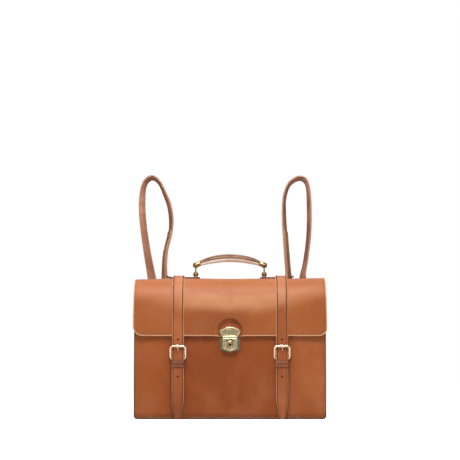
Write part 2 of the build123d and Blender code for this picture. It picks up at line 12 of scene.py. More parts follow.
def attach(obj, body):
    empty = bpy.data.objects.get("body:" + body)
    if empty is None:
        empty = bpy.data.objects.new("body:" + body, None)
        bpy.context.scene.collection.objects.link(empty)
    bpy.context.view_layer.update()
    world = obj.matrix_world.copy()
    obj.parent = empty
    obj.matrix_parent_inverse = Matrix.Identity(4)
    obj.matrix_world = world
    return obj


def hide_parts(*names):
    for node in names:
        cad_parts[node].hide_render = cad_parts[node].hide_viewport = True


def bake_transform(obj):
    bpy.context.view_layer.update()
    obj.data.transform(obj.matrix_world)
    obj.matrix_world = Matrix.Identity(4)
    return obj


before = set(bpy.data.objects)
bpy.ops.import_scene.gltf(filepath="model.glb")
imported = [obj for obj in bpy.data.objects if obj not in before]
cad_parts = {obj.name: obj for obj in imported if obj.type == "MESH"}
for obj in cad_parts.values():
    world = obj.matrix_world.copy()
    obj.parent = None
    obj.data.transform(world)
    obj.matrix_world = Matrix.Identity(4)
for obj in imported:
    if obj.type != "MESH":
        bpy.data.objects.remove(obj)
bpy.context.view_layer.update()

# --- dimensions -------------------------------------------------------------------------------

PANEL_HALF = 195.0  # half the body's width
PANEL_THICK = 3.0
PANEL_CORNER = 8.0
FRONT_Y, BACK_Y = -55.0, 55.0
FRONT_HEIGHT = 238.0
SHELL_THICK = 2.7  # back panel and flap, one piece of leather
LINING = 0.8
CREST_Y, CREST_Z = -13.6, 287.0
TOP_RADIUS = 594.0  # the gentle arch from back to crest
BEND = 48.0  # radius over the front edge
FLAP_Y = -61.6
FLAP_EDGE_Z = 168.0
LEFT_CORNER, RIGHT_CORNER = 20.0, 16.0
NOTCH_RADIUS, NOTCH_Z = 23.7, 180.0
SEAM_INSET = 4.2

GUSSET_X = 193.6
GUSSET_DEPTH = 52.0
GUSSET_THICK = 2.6
GUSSET_LOW, GUSSET_HIGH = 237.0, 261.0  # the mouth's height at the front and at the back
GUSSET_CORNER = 7.0

STRAP_X = 105.5
STRAP_HALF = 11.9
TIP_HALF = 6.0
STRAP_THICK = 2.8
STRAP_BEND_Z = 204.0
HOLES_Z = (86.0, 111.0, 161.0)
HEEL = (-58.4, 121.5)  # Y and Z of the buckle's heel bar
ROLLER = (-67.1, 147.2)
BUCKLE_HALF = 15.1
PRONG_HOLE_Z = 140.3
KEEPER_LOW, KEEPER_HIGH = 105.0, 117.6
KEEPER_FRONT, KEEPER_BACK = -66.0, -57.2

HANDLE_Y = -6.0
HANDLE_HALF = 71.0
UPPER_PIN_Z = 315.0
GRIP_RISE = 14.0
GRIP_RADIUS = (HANDLE_HALF**2 + GRIP_RISE**2) / (2 * GRIP_RISE)

CARRY_HALF = 10.0
CARRY_THICK = 3.2
INNER_X, OUTER_X = 130.0, 158.0
CARRY_ROOT_Y = 58.7  # middle of a strap lying on the back
CARRY_HINGE = (63.4, 262.0)  # Y and Z of the line that the loops fold about
LEAN = radians(15.0)
SPLICE_LOW, SPLICE_HIGH = 285.0, 397.0

DIVIDER_HALF = 186.0
POCKET_HALF = 115.0
LOCK_Z = 150.5
LOCK_FACE_Y = -62.5
HASP_Y = -60.3
HASP_CENTRE_Z = 151.3  # centre of the hasp's arched top

SHARP = 38.0  # degrees between faces that count as an edge

# stitches: the distance from one to the next, their length and their radius
PANEL_SEAM = (3.8, 2.7, 0.36)
LINING_SEAM = (3.8, 2.7, 0.34)
STRAP_SEAM = (4.6, 3.0, 0.55)
KEEPER_SEAM = (3.4, 2.5, 0.34)
TAB_SEAM = (3.6, 2.5, 0.32)
FITTING_SEAM = (3.6, 2.6, 0.34)
SPLICE_SEAM = (4.2, 2.8, 0.34)

# a backpack strap's loop: X and Z of its middle line, and how far its inner face turns forwards, in degrees
LEFT_LOOP = [
    (-139, 297, 30), (-138, 345, 24), (-129, 388, 24), (-127, 420, 24), (-132, 452, 20), (-141, 476, 14),
    (-155, 505, 8), (-172, 515, 8), (-187, 499, 20), (-191, 457, 36), (-187, 406, 40), (-177, 345, 46),
    (-168, 300, 56),
]
RIGHT_LOOP = [
    (124, 300, 32), (121, 345, 28), (118, 400, 26), (117, 440, 22), (119, 472, 16), (130, 501, 10),
    (152, 514, 8), (168, 502, 12), (172, 457, 20), (170, 389, 22), (162, 330, 24), (155, 297, 34),
]

# --- materials --------------------------------------------------------------------------------


def srgb(r, g, b):
    """A colour from 0-255 display values, as linear light."""
    linear = [(c / 255 / 12.92) if c <= 10 else ((c / 255 + 0.055) / 1.055) ** 2.4 for c in (r, g, b)]
    return (*linear, 1.0)


class Shader:
    """A material whose nodes are added one call at a time."""

    def __init__(self, name, **values):
        self.material = bpy.data.materials.new(name)
        self.material.use_nodes = True
        self.tree = self.material.node_tree
        self.surface = self.tree.nodes["Principled BSDF"]
        for key, value in values.items():
            self.surface.inputs[key.replace("_", " ")].default_value = value
        self.where = self.add("ShaderNodeTexCoord").outputs["Object"]

    def add(self, kind, inputs=None, **settings):
        made = self.tree.nodes.new(kind)
        for key, value in settings.items():
            setattr(made, key, value)
        for key, value in (inputs or {}).items():
            self.feed(made.inputs[key], value)
        return made

    def feed(self, socket, value):
        if isinstance(value, bpy.types.NodeSocket):
            self.tree.links.new(value, socket)
        else:
            socket.default_value = value

    def noise(self, scale, detail=3.0, roughness=0.5, distortion=0.0, where=None):
        inputs = {"Vector": where or self.where, "Scale": scale, "Detail": detail,
                  "Roughness": roughness, "Distortion": distortion}
        return self.add("ShaderNodeTexNoise", inputs).outputs["Fac"]

    def stretched(self, scale):
        """The surface coordinates, scaled by three factors."""
        return self.add("ShaderNodeMapping", {"Vector": self.where, "Scale": scale}).outputs["Vector"]

    def axes(self):
        return self.add("ShaderNodeSeparateXYZ", {0: self.where}).outputs

    def remap(self, value, low, high, to_low=0.0, to_high=1.0):
        inputs = {"Value": value, "From Min": low, "From Max": high, "To Min": to_low, "To Max": to_high}
        return self.add("ShaderNodeMapRange", inputs, interpolation_type="SMOOTHSTEP").outputs["Result"]

    def math(self, operation, a, b=0.0):
        return self.add("ShaderNodeMath", {0: a, 1: b}, operation=operation).outputs[0]

    def plus(self, a, b):
        return self.math("ADD", a, b)

    def minus(self, a, b):
        return self.math("SUBTRACT", a, b)

    def times(self, a, b):
        return self.math("MULTIPLY", a, b)

    def mix(self, factor, a, b):
        return self.add("ShaderNodeMix", {0: factor, 6: a, 7: b}, data_type="RGBA").outputs[2]

    def bump(self, height, strength, distance, normal=None):
        inputs = {"Height": height, "Strength": strength, "Distance": distance}
        if normal:
            inputs["Normal"] = normal
        return self.add("ShaderNodeBump", inputs).outputs["Normal"]

    def finish(self, colour, roughness, normal=None):
        self.feed(self.surface.inputs["Base Color"], colour)
        self.feed(self.surface.inputs["Roughness"], roughness)
        if normal:
            self.feed(self.surface.inputs["Normal"], normal)
        return self.material


def patina(s, tones, clouds, fine, low, high):
    """Leather's colour from dark to light, by broad clouds and a finer mottling."""
    dark, middle, light = tones
    tone = s.plus(s.times(clouds, 0.82), s.times(fine, 0.18))
    half = (low + high) / 2
    colour = s.mix(s.remap(tone, low, half), dark, middle)
    return s.mix(s.remap(tone, half, high), colour, light)


def rub_and_highlight_band(s, colour, clouds, strength, at_crest):
    """Paints the leather paler where it bends over the bag's front edge: partly rubbed wear, partly a painted
    highlight where the bend faces the key light.
    """
    x, y, z = s.axes()
    height = s.minus(z, s.times(s.times(x, x), 0.9))
    height = s.plus(height, s.times(s.minus(clouds, 0.5), 0.03))
    bent = s.times(s.remap(height, 0.204, 0.230), s.remap(height, 0.238, 0.258, 1.0, at_crest))
    bent = s.times(bent, s.remap(s.math("ABSOLUTE", x), 0.06, 0.17, 1.0, 0.3))
    bent = s.times(bent, s.remap(y, -0.03, 0.03, 1.0, 0.1))
    # the pale colour: partly rubbed leather, partly a painted highlight
    return s.mix(s.times(bent, strength), colour, srgb(212, 154, 112))


def hazed(s, colour, dark, strength):
    """Adds broad patches, some faded and some dark."""
    haze = s.noise(1.0, detail=3.0, roughness=0.6, distortion=0.5, where=s.stretched((13.0, 13.0, 10.0)))
    colour = s.mix(s.remap(haze, 0.44, 0.72, 0.0, strength), colour, srgb(160, 92, 60))
    return s.mix(s.remap(haze, 0.28, 0.46, strength, 0.0), colour, dark)


def pressed_rim(s, colour, normal, dark, burnished, soiled):
    """Adds a pressed line beside the cut edge, with paler and then darker leather towards the edge."""
    edge = s.add("ShaderNodeAttribute", attribute_name="rim").outputs["Fac"]
    groove = s.remap(s.math("ABSOLUTE", s.minus(edge, 0.0042)), 0.0002, 0.0012, 1.0, 0.0)
    colour = s.mix(s.times(groove, 0.45), colour, dark)
    colour = s.mix(s.remap(edge, 0.0, 0.0032, burnished, 0.0), colour, srgb(222, 172, 132))
    if soiled:
        colour = s.mix(s.remap(edge, 0.0012, 0.0034, soiled, 0.0), colour, srgb(70, 32, 16))
    return colour, s.bump(groove, 0.9, -0.0006, normal)


def leather(name, *tones, scale, low=0.36, high=0.66, painted_middle_shade=0.0, rub_and_highlight=0.0, rub_and_highlight_crest=0.2,
            haze=0.0, foot=0.0, rim=0.0, dark_rim=0.0):
    """Vegetable-tanned leather with patina, pores and faint creases, in three tones from dark to light.

    scale, low and high are the patina's. The others are how strongly painted shade darkens the bag's middle
    against its paler sides, how strongly a pale rub and painted highlight lighten the bend, how hazed it is,
    how strongly painted shade darkens its foot, and how it is marked along its edge.
    """
    s = Shader(name, Specular_IOR_Level=0.3, Coat_Weight=0.10, Coat_Roughness=0.5)
    dark, middle, light = [srgb(*tone) for tone in tones]
    clouds = s.noise(scale, detail=3.5, roughness=0.55, distortion=0.5)
    # painted shade and sheen: the clouds are darker in the bag's middle and paler towards its sides, where
    # the side lamps reflect
    if painted_middle_shade:
        side = s.remap(s.math("ABSOLUTE", s.axes()[0]), 0.07, 0.19)
        clouds = s.plus(clouds, s.times(s.minus(side, 0.5), painted_middle_shade))
    fine = s.noise(55.0, detail=6.0, roughness=0.62)
    colour = patina(s, (dark, middle, light), clouds, fine, low, high)
    # a pale band at the bend: partly rubbed wear, partly painted highlight
    if rub_and_highlight:
        colour = rub_and_highlight_band(s, colour, clouds, rub_and_highlight, rub_and_highlight_crest)
    if haze:
        colour = hazed(s, colour, dark, haze)
    # painted shade: darker towards the bottom 16 mm, where the bag meets the floor
    if foot:
        colour = s.mix(s.remap(s.axes()[2], 0.001, 0.016, foot, 0.0), colour, srgb(60, 28, 14))
    speckle = s.noise(700.0, detail=2.0)
    colour = s.mix(s.remap(speckle, 0.55, 0.85, 0.0, 0.30), colour, dark)
    hair = s.noise(1.0, detail=4.0, roughness=0.7, where=s.stretched((210.0, 210.0, 26.0)))
    colour = s.mix(s.remap(hair, 0.60, 0.80, 0.0, 0.22), colour, light)
    creases = s.noise(150.0, detail=5.0, roughness=0.6, distortion=0.8)
    pores = s.add("ShaderNodeTexVoronoi", {"Vector": s.where, "Scale": 1100.0}).outputs["Distance"]
    normal = s.bump(s.remap(pores, 0.15, 0.75), 0.16, 0.0004, s.bump(creases, 0.22, 0.0010))
    if rim:
        colour, normal = pressed_rim(s, colour, normal, dark, rim, dark_rim)
    return s.finish(colour, s.remap(fine, 0.3, 0.7, 0.50, 0.64), normal)


def cut_edge(name, colour, shade):
    """A cut and waxed leather edge, with the fibres' fine layers."""
    s = Shader(name, Specular_IOR_Level=0.35)
    layers = s.noise(900.0, detail=3.0, roughness=0.7)
    return s.finish(s.mix(s.remap(layers, 0.3, 0.7), srgb(*colour), srgb(*shade)),
                    s.remap(layers, 0.3, 0.7, 0.45, 0.7), s.bump(layers, 0.3, 0.0003))


def suede(name, dark, light):
    s = Shader(name, Specular_IOR_Level=0.15, Sheen_Weight=0.35, Sheen_Roughness=0.45)
    nap = s.noise(420.0, detail=4.0, roughness=0.7)
    brushed = s.noise(14.0, detail=3.0, distortion=0.7)
    tone = s.plus(s.times(nap, 0.45), s.times(brushed, 0.55))
    return s.finish(s.mix(s.remap(tone, 0.36, 0.64), srgb(*dark), srgb(*light)),
                    s.remap(nap, 0.2, 0.8, 0.8, 0.95), s.bump(nap, 0.5, 0.0005))


def metal(name, bright, dull, grime, rough):
    """Cast metal: polished high spots, cloudy tarnish and fine scratches."""
    s = Shader(name, Metallic=1.0)
    cloud = s.noise(170.0, detail=5.0, roughness=0.62, distortion=0.3)
    spots = s.noise(620.0, detail=4.0, roughness=0.65)
    scratch = s.noise(1.0, detail=5.0, roughness=0.75, where=s.stretched((2600.0, 2600.0, 260.0)))
    colour = s.mix(s.remap(cloud, 0.36, 0.66), srgb(*bright), srgb(*dull))
    colour = s.mix(s.remap(spots, 0.60, 0.78, 0.0, 0.55), colour, srgb(*grime))
    roughness = s.plus(s.remap(cloud, 0.3, 0.7, rough - 0.06, rough + 0.12),
                       s.remap(scratch, 0.45, 0.75, 0.0, 0.10))
    return s.finish(colour, roughness, s.bump(scratch, 0.10, 0.0002, s.bump(cloud, 0.12, 0.0008)))


def thread(name, colour, shade):
    """Waxed linen thread with its twist."""
    s = Shader(name, Specular_IOR_Level=0.4)
    twist = s.add("ShaderNodeTexWave", {"Vector": s.where, "Scale": 900.0, "Distortion": 1.5},
                  bands_direction="DIAGONAL").outputs["Fac"]
    return s.finish(s.mix(twist, srgb(*shade), srgb(*colour)), 0.6, s.bump(twist, 0.5, 0.0002))


def board(name, colour, shade):
    s = Shader(name, Specular_IOR_Level=0.2)
    fibres = s.noise(1.0, detail=6.0, roughness=0.7, where=s.stretched((90.0, 420.0, 420.0)))
    return s.finish(s.mix(s.remap(fibres, 0.35, 0.65), srgb(*colour), srgb(*shade)), 0.85,
                    s.bump(fibres, 0.3, 0.0004))


# the front panel: painted shade darkens its middle against painted sheen on its sides
PANEL = leather("panel_leather", (132, 59, 8), (148, 73, 16), (166, 93, 44), scale=6.0, low=0.28, high=0.78,
                painted_middle_shade=0.30, haze=0.42, foot=0.55, rim=0.01, dark_rim=0.75)
# the shell: a pale band at the bend, partly rubbed wear and partly painted highlight
SHELL = leather("shell_leather", (136, 67, 22), (153, 81, 31), (170, 97, 46), scale=6.0, low=0.28, high=0.76,
                rub_and_highlight=0.5, haze=0.3, rim=0.75)
GUSSET = leather("gusset_leather", (108, 50, 22), (134, 66, 32), (156, 84, 46), scale=8.0, low=0.26,
                 high=0.80, rim=0.3)
# the straps: a pale band over the crest, partly rubbed wear and partly painted highlight
STRAP = leather("strap_leather", (132, 64, 26), (150, 78, 34), (172, 98, 52), scale=14.0, low=0.28, high=0.76,
                rub_and_highlight=0.55, rub_and_highlight_crest=0.55, haze=0.3)
KEEPER = leather("keeper_leather", (104, 50, 28), (126, 64, 34), (148, 84, 50), scale=24.0)
TAB = leather("tab_leather", (134, 62, 24), (156, 77, 31), (174, 94, 44), scale=30.0, rim=0.2)
# painted shade: the ring tabs' leather is coloured dark for the shade they sit in on the crest
PAINTED_SHADE_TAB = leather("ring_tab_leather_painted_shade", (70, 36, 22), (100, 56, 36), (140, 88, 62), scale=30.0)
GRIP = leather("grip_leather", (88, 54, 32), (110, 72, 46), (132, 92, 64), scale=26.0)
# the grip's pale underside: natural leather, its near-white partly a painted reflection of the white floor
PALE_LEATHER_AND_REFLECTION = leather("natural_leather", (214, 192, 172), (234, 218, 204), (244, 234, 222), scale=24.0)
CARRY = leather("carry_leather", (126, 68, 38), (150, 90, 58), (172, 114, 80), scale=10.0)
FLESH = leather("carry_inner_leather", (116, 70, 46), (142, 92, 68), (166, 120, 96), scale=12.0)
CARRY_EDGE = cut_edge("carry_edge", (176, 130, 104), (140, 94, 70))
PALE_EDGE = cut_edge("pale_edge", (230, 186, 148), (198, 144, 102))
TAN_EDGE = cut_edge("tan_edge", (232, 186, 150), (206, 150, 112))
DARK_EDGE = cut_edge("dark_edge", (104, 60, 38), (78, 42, 26))
# near-black walls for the strap's holes: painted shade
HOLE_SHADE = cut_edge("hole_wall_painted_shade", (34, 14, 7), (22, 9, 5))
CREASE = cut_edge("pressed_line", (88, 42, 20), (68, 32, 15))
SUEDE = suede("suede_lining", (140, 104, 74), (184, 148, 112))
BRASS = metal("brass", (255, 228, 200), (242, 206, 168), (168, 122, 78), 0.24)
HANDLE_BRASS = metal("handle_brass", (182, 150, 98), (122, 92, 50), (56, 36, 18), 0.36)
ANTIQUE = metal("antique_brass", (222, 206, 168), (186, 168, 124), (104, 84, 50), 0.34)
# darker antique brass for the lock's case and the hasp's tongue and rivets: partly patina, partly painted
# shade on these recessed parts
ANTIQUE_PATINA_AND_SHADE = metal("antique_brass_patina_and_shade", (150, 144, 112), (122, 114, 82), (74, 62, 38), 0.42)
# near-black brass for the keyhole, the slot and the gap round the button: painted shade in these hollows
SHADE_BRASS = metal("brass_painted_shade", (62, 50, 30), (44, 34, 20), (28, 22, 12), 0.5)
RECESS = metal("hasp_recess", (190, 182, 142), (160, 150, 110), (92, 80, 50), 0.42)
STEEL = metal("steel", (190, 190, 188), (150, 150, 150), (90, 88, 84), 0.30)
THREAD = thread("tan_thread", (206, 158, 116), (164, 112, 72))
# brown thread for the straps' seams, darkened to stand in for the stitches' shadow as well
BROWN_THREAD_AND_SHADE = thread("brown_thread_and_painted_shade", (112, 60, 32), (66, 32, 16))
LIGHT_THREAD = thread("cream_thread", (232, 206, 170), (198, 160, 118))
BOARD = board("board", (126, 104, 80), (96, 76, 56))

# --- flat lines -------------------------------------------------------------------------------


def arc(cx, cy, radius, start, end, steps=8):
    """Points on an arc, with angles in degrees."""
    angles = [radians(start + (end - start) * i / steps) for i in range(steps + 1)]
    return [(cx + radius * cos(a), cy + radius * sin(a)) for a in angles]


def circle(radius, sides):
    return arc(0, 0, radius, 0, 360, sides)[:-1]


def rounded(x0, x1, y0, y1, low_radius, high_radius=None):
    """A rectangle's outline with rounded corners, counterclockwise from the lowest left one."""
    r = low_radius
    points = arc(x0 + r, y0 + r, r, 180, 270) + arc(x1 - r, y0 + r, r, 270, 360)
    r = low_radius if high_radius is None else high_radius
    return points + arc(x1 - r, y1 - r, r, 0, 90) + arc(x0 + r, y1 - r, r, 90, 180)


def ramp(value, low, high):
    """0 below low, 1 above high, and smooth between."""
    t = min(max((value - low) / (high - low), 0.0), 1.0)
    return t * t * (3 - 2 * t)


def spaced(low, high, step):
    """Numbers from low to high, about a step apart."""
    count = max(int(round(abs(high - low) / step)), 1)
    return [low + (high - low) * i / count for i in range(count + 1)]


class Route:
    """A line through points, measured by its length."""

    def __init__(self, points):
        self.points = np.array(points, float)
        steps = np.sqrt((np.diff(self.points, axis=0) ** 2).sum(1))
        self.lengths = np.concatenate([[0], np.cumsum(steps)])
        self.length = float(self.lengths[-1])

    def at(self, t):
        return np.array([np.interp(t, self.lengths, column) for column in self.points.T])

    def heading(self, t, reach=1.0):
        step = self.at(min(t + reach, self.length)) - self.at(max(t - reach, 0.0))
        return step / np.linalg.norm(step)

    def where(self, test):
        """The length at which a test on the point first holds."""
        return float(self.lengths[[bool(test(p)) for p in self.points].index(True)])


# --- mesh tools -------------------------------------------------------------------------------


def add_object(name, data):
    obj = bpy.data.objects.new(name, data)
    bpy.context.scene.collection.objects.link(obj)
    return obj


def make_object(name, points, faces, materials, slots=None, sharp=SHARP):
    """A smooth-shaded object from points in millimetres."""
    mesh = bpy.data.meshes.new(name)
    mesh.from_pydata([Vector(p) * 0.001 for p in points], [], faces)
    for material in materials:
        mesh.materials.append(material)
    if slots:
        mesh.polygons.foreach_set("material_index", slots)
    made = bmesh.new()
    made.from_mesh(mesh)
    bmesh.ops.recalc_face_normals(made, faces=made.faces)
    made.to_mesh(mesh)
    made.free()
    mesh.polygons.foreach_set("use_smooth", [True] * len(mesh.polygons))
    mesh.set_sharp_from_angle(angle=radians(sharp))
    return add_object(name, mesh)


def apply_modifiers(obj):
    """Makes what the modifiers give the object's own mesh."""
    graph = bpy.context.evaluated_depsgraph_get()
    mesh = bpy.data.meshes.new_from_object(obj.evaluated_get(graph))
    obj.modifiers.clear()
    obj.data = mesh
    return obj


def add_bevel(obj, width, angle):
    """A modifier that rounds the edges sharper than an angle, by a width in millimetres."""
    bevel = obj.modifiers.new("bevel", "BEVEL")
    bevel.width = width * 0.001
    bevel.segments = 2
    bevel.limit_method = "ANGLE"
    bevel.angle_limit = radians(angle)
    return bevel


def distance_to_outline(points, outline):
    """Each point's distance to a closed outline, in metres."""
    p = np.array(points)[:, None, :]
    a = np.array(outline)[None, :, :]
    along = np.roll(a, -1, axis=1) - a
    length = np.maximum((along**2).sum(-1), 1e-9)
    t = np.clip(((p - a) * along).sum(-1) / length, 0, 1)
    gap = p - (a + t[..., None] * along)
    return np.sqrt((gap**2).sum(-1)).min(1) * 0.001


def flat_pieces(outline, cuts_a, cuts_b):
    """An outline's inside, cut along both axes: its points, its faces and the edges round it."""
    flat = bmesh.new()
    flat.faces.new([flat.verts.new((a, b, 0)) for a, b in outline])
    for axis, cuts in (((1, 0, 0), cuts_a), ((0, 1, 0), cuts_b)):
        for value in cuts:
            geometry = flat.verts[:] + flat.edges[:] + flat.faces[:]
            bmesh.ops.bisect_plane(flat, geom=geometry, plane_co=[value * c for c in axis], plane_no=axis)
    flat.verts.index_update()
    places = [(v.co.x, v.co.y) for v in flat.verts]
    faces = [[v.index for v in f.verts] for f in flat.faces]
    loops = [edge.link_loops[0] for edge in flat.edges if edge.is_boundary]
    border = [(loop.vert.index, loop.link_loop_next.vert.index) for loop in loops]
    flat.free()
    return places, faces, border


def sheet(name, outline, place, thick, cuts_a, cuts_b, materials, bevel=0.45):
    """Leather cut to a flat outline and laid on a surface. place(a, b, depth) gives a point of it in space.

    materials are those of the face, the cut edge and the back. The mesh keeps each point's distance to the
    outline as "rim".
    """
    places, front, border = flat_pieces(outline, cuts_a, cuts_b)
    count = len(places)
    back = [[i + count for i in reversed(face)] for face in front]
    side = [[j, i, i + count, j + count] for i, j in border]
    points = [place(a, b, depth) for depth in (0.0, thick) for a, b in places]
    slots = [0] * len(front) + [2] * len(back) + [1] * len(side)
    obj = make_object(name, points, front + back + side, materials, slots)
    rim = obj.data.attributes.new("rim", "FLOAT", "POINT")
    rim.data.foreach_set("value", np.tile(distance_to_outline(places, outline), 2).astype(np.float32))
    if bevel:
        add_bevel(obj, bevel, 50.0).material = 1
        apply_modifiers(obj)
    return obj


def tube_faces(first, size, count, joined=False):
    """Faces through count rings of size points, from the point numbered first, capped unless joined."""
    faces = []
    for i in range(count if joined else count - 1):
        here, there = first + i * size, first + (i + 1) % count * size
        for j in range(size):
            k = (j + 1) % size
            faces.append([here + j, here + k, there + k, there + j])
    if not joined:
        last = first + (count - 1) * size
        faces += [list(range(first, first + size)), list(range(last, last + size))[::-1]]
    return faces


def loft(name, rings, materials, slots=None, joined=False):
    """A surface through rings of points. slots gives one material index for each point round a ring."""
    size, count = len(rings[0]), len(rings)
    slots = slots or [0] * size
    face_slots = slots * count if joined else slots * (count - 1) + slots[-1:] * 2
    points = [p for ring in rings for p in ring]
    return make_object(name, points, tube_faces(0, size, count, joined), materials, face_slots)


def sweep(name, centres, sizes, material, normal_hint, joined=False, sides=12):
    """A rounded bar along points, with a half width and half height at each."""
    count = len(centres)
    rings = []
    for i, centre in enumerate(centres):
        ahead = centres[(i + 1) % count] if joined or i + 1 < count else centre
        behind = centres[i - 1] if joined or i else centre
        along = (Vector(ahead) - Vector(behind)).normalized()
        across = along.cross(Vector(normal_hint)).normalized()
        up = across.cross(along)
        wide, high = sizes[i]
        rings.append([Vector(centre) + across * wide * u + up * high * v for u, v in circle(1.0, sides)])
    return loft(name, rings, [material], joined=joined)


def hold(body, slot, *pieces):
    """Makes pieces ride on a body. slot, a material slot of the record, is not used."""
    for piece in pieces:
        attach(piece, body)


# --- stitches ---------------------------------------------------------------------------------

STITCH_PROFILE = ((-0.5, 0.25), (-0.36, 0.85), (0.0, 1.0), (0.36, 0.85), (0.5, 0.25))
STITCH_SIDES = 6


def track(flat_points, place, closed=False):
    """A sewing line laid on a surface: points in space with the surface's normals, 0.5 mm apart or so."""
    flat_route = Route(flat_points + flat_points[:1] if closed else flat_points)
    line = []
    for t in spaced(0.0, flat_route.length, 0.5):
        a, b = flat_route.at(t)
        top, under = Vector(place(a, b, 0.0)), Vector(place(a, b, 1.0))
        line.append((top, (top - under).normalized()))
    return line


def stitch(centre, along, normal, length, radius):
    """The rings of one stitch, slanted a little and pulled in at both ends."""
    across = along.cross(normal).normalized()
    along = (along + across * 0.16).normalized()
    rings = []
    for at, size in STITCH_PROFILE:
        middle = centre + along * (at * length) + normal * (radius * (0.35 - 1.6 * at * at))
        offsets = [(across * u + normal * v) * radius * size for u, v in circle(1.0, STITCH_SIDES)]
        rings.append([middle + offset for offset in offsets])
    return rings


def stitches(name, tracks, material, size):
    """Rows of single stitches along the tracks."""
    pitch, length, radius = size
    points, faces = [], []
    for line in tracks:
        route = Route([tuple(p) for p, _ in line])
        count = max(int(route.length / pitch), 1)
        for i in range(count):
            t = (i + 0.5) * route.length / count
            nearest = min(int(np.searchsorted(route.lengths, t)), len(line) - 1)
            rings = stitch(Vector(route.at(t)), Vector(route.heading(t)), line[nearest][1], length, radius)
            faces += tube_faces(len(points), STITCH_SIDES, len(rings))
            points += [p for ring in rings for p in ring]
    return make_object(name, points, faces, [material], sharp=80.0)


# --- the shell: back panel and flap, one piece of leather ------------------------------------


def top_z(y):
    """The height of the bag's arched top."""
    return CREST_Z - TOP_RADIUS + sqrt(TOP_RADIUS**2 - (y - CREST_Y) ** 2)


def belly(x, z):
    """How far the flap's front swells out between the straps, in millimetres."""
    across = max(0.0, 1 - (x / 92) ** 2)
    sides = 0.8 * ramp(abs(x), 92, 120) * ramp(-abs(x), -194, -150)
    return (4.6 * across**1.3 + sides) * ramp(z, 168, 212) * ramp(-z, -286, -212)


def crest_wave(x):
    """How much the flap's crest rises or sags along its length."""
    return -1.9 * ramp(-x, 118, 196) + 0.9 * ramp(x, 122, 190) - 0.7 * (1 - ramp(abs(x), 10, 60))


def shell_route():
    """From the back panel's foot up, over the top and down the front to the flap's edge."""
    fold_z, fold_y = 268.0, 36.0
    points = [(BACK_Y, z) for z in spaced(0.0, fold_z, 2.0)]
    start, corner, end = Vector((BACK_Y, fold_z)), Vector((BACK_Y, 284.4)), Vector((fold_y, top_z(fold_y)))
    for i in range(1, 24):
        t = i / 24
        points.append(tuple(start * (1 - t) ** 2 + corner * 2 * t * (1 - t) + end * t * t))
    points += [(y, top_z(y)) for y in spaced(fold_y, CREST_Y, 1.5)]
    points += arc(CREST_Y, CREST_Z - BEND, BEND, 90, 180, 60)[1:]
    return Route(points + [(FLAP_Y, z) for z in spaced(CREST_Z - BEND, FLAP_EDGE_Z, 2.0)[1:]])


SHELL_LINE = shell_route()
SHELL_END = SHELL_LINE.length
NOTCH_T = SHELL_END - (NOTCH_Z - FLAP_EDGE_Z)


def shell_place(x, t, depth):
    """A point of the shell, depth below its outer face."""
    y, z = SHELL_LINE.at(t)
    heading = SHELL_LINE.heading(t)
    if y < CREST_Y:
        depth -= belly(x, z)
    y -= heading[1] * depth
    z += heading[0] * depth
    flare = ramp(z, 300, 170) * ramp(-y, -60, 62) if y < 0 else 0.0
    wide = 1.0 + 0.004 * ramp(-y, -54, 0) + 0.008 * flare
    curl = 1.2 * ramp(z, 200, 168) * ramp(abs(x), 120, 196) if y < -50 else 0.0
    return (x * wide, y - curl, z + crest_wave(x) * ramp(z, 200, 286))


def shell_lining_place(x, t, depth):
    return shell_place(x, t, SHELL_THICK + 0.05 + depth)


def shell_inside_place(x, t, depth):
    """A point of the lining's bare side."""
    return shell_place(x, t, SHELL_THICK + LINING + 0.05 - depth)


def shell_outline(inset):
    """The shell laid flat, with the lock's notch in the flap's edge."""
    edge, low = PANEL_HALF - inset, SHELL_END - inset
    right, left = RIGHT_CORNER - inset, LEFT_CORNER - inset
    foot = PANEL_CORNER - min(inset, 4.0)
    notch = NOTCH_RADIUS + inset
    points = arc(-edge + foot, inset + foot, foot, 180, 270) + arc(edge - foot, inset + foot, foot, 270, 360)
    points += arc(edge - right, low - right, right, 0, 90, 10) + [(notch, low)]
    points += [(x, min(t, low)) for x, t in arc(0, NOTCH_T, notch, 0, -180, 28)] + [(-notch, low)]
    return points + arc(-edge + left, low - left, left, 90, 180, 10)


def shell_cuts():
    """Where the shell is divided across and along, finest at its bends."""
    bend = SHELL_LINE.where(lambda p: p[1] >= 266.0)
    flat_top = SHELL_LINE.where(lambda p: p[0] <= 30.0)
    front = SHELL_LINE.where(lambda p: p[0] <= CREST_Y)
    rows = spaced(8, bend, 9)[:-1] + spaced(bend, flat_top, 2.5) + spaced(flat_top, front, 6)[1:-1]
    rows += spaced(front, front + 76, 4) + spaced(front + 82, SHELL_END - 6, 6) + [SHELL_END - 2.5]
    rows += spaced(SHELL_END - 37, SHELL_END - 4, 3.3)
    columns = spaced(-PANEL_HALF + 6, -44, 8) + spaced(-40, 40, 4) + spaced(44, PANEL_HALF - 6, 8)
    return columns, rows


def darken_notch(obj):
    """Leaves the notch's edge the colour of the leather, without the pale line of the outer edge."""

    def beside_notch(place):
        return place.y < -0.05 and place.z > 0.1695 and sqrt(place.x**2 + (place.z - 0.180) ** 2) < 0.033

    rim = obj.data.attributes["rim"].data
    for vertex in obj.data.vertices:
        if beside_notch(vertex.co):
            rim[vertex.index].value = max(rim[vertex.index].value, 0.0034)
    for face in obj.data.polygons:
        if face.material_index == 1 and beside_notch(face.center):
            face.material_index = 0


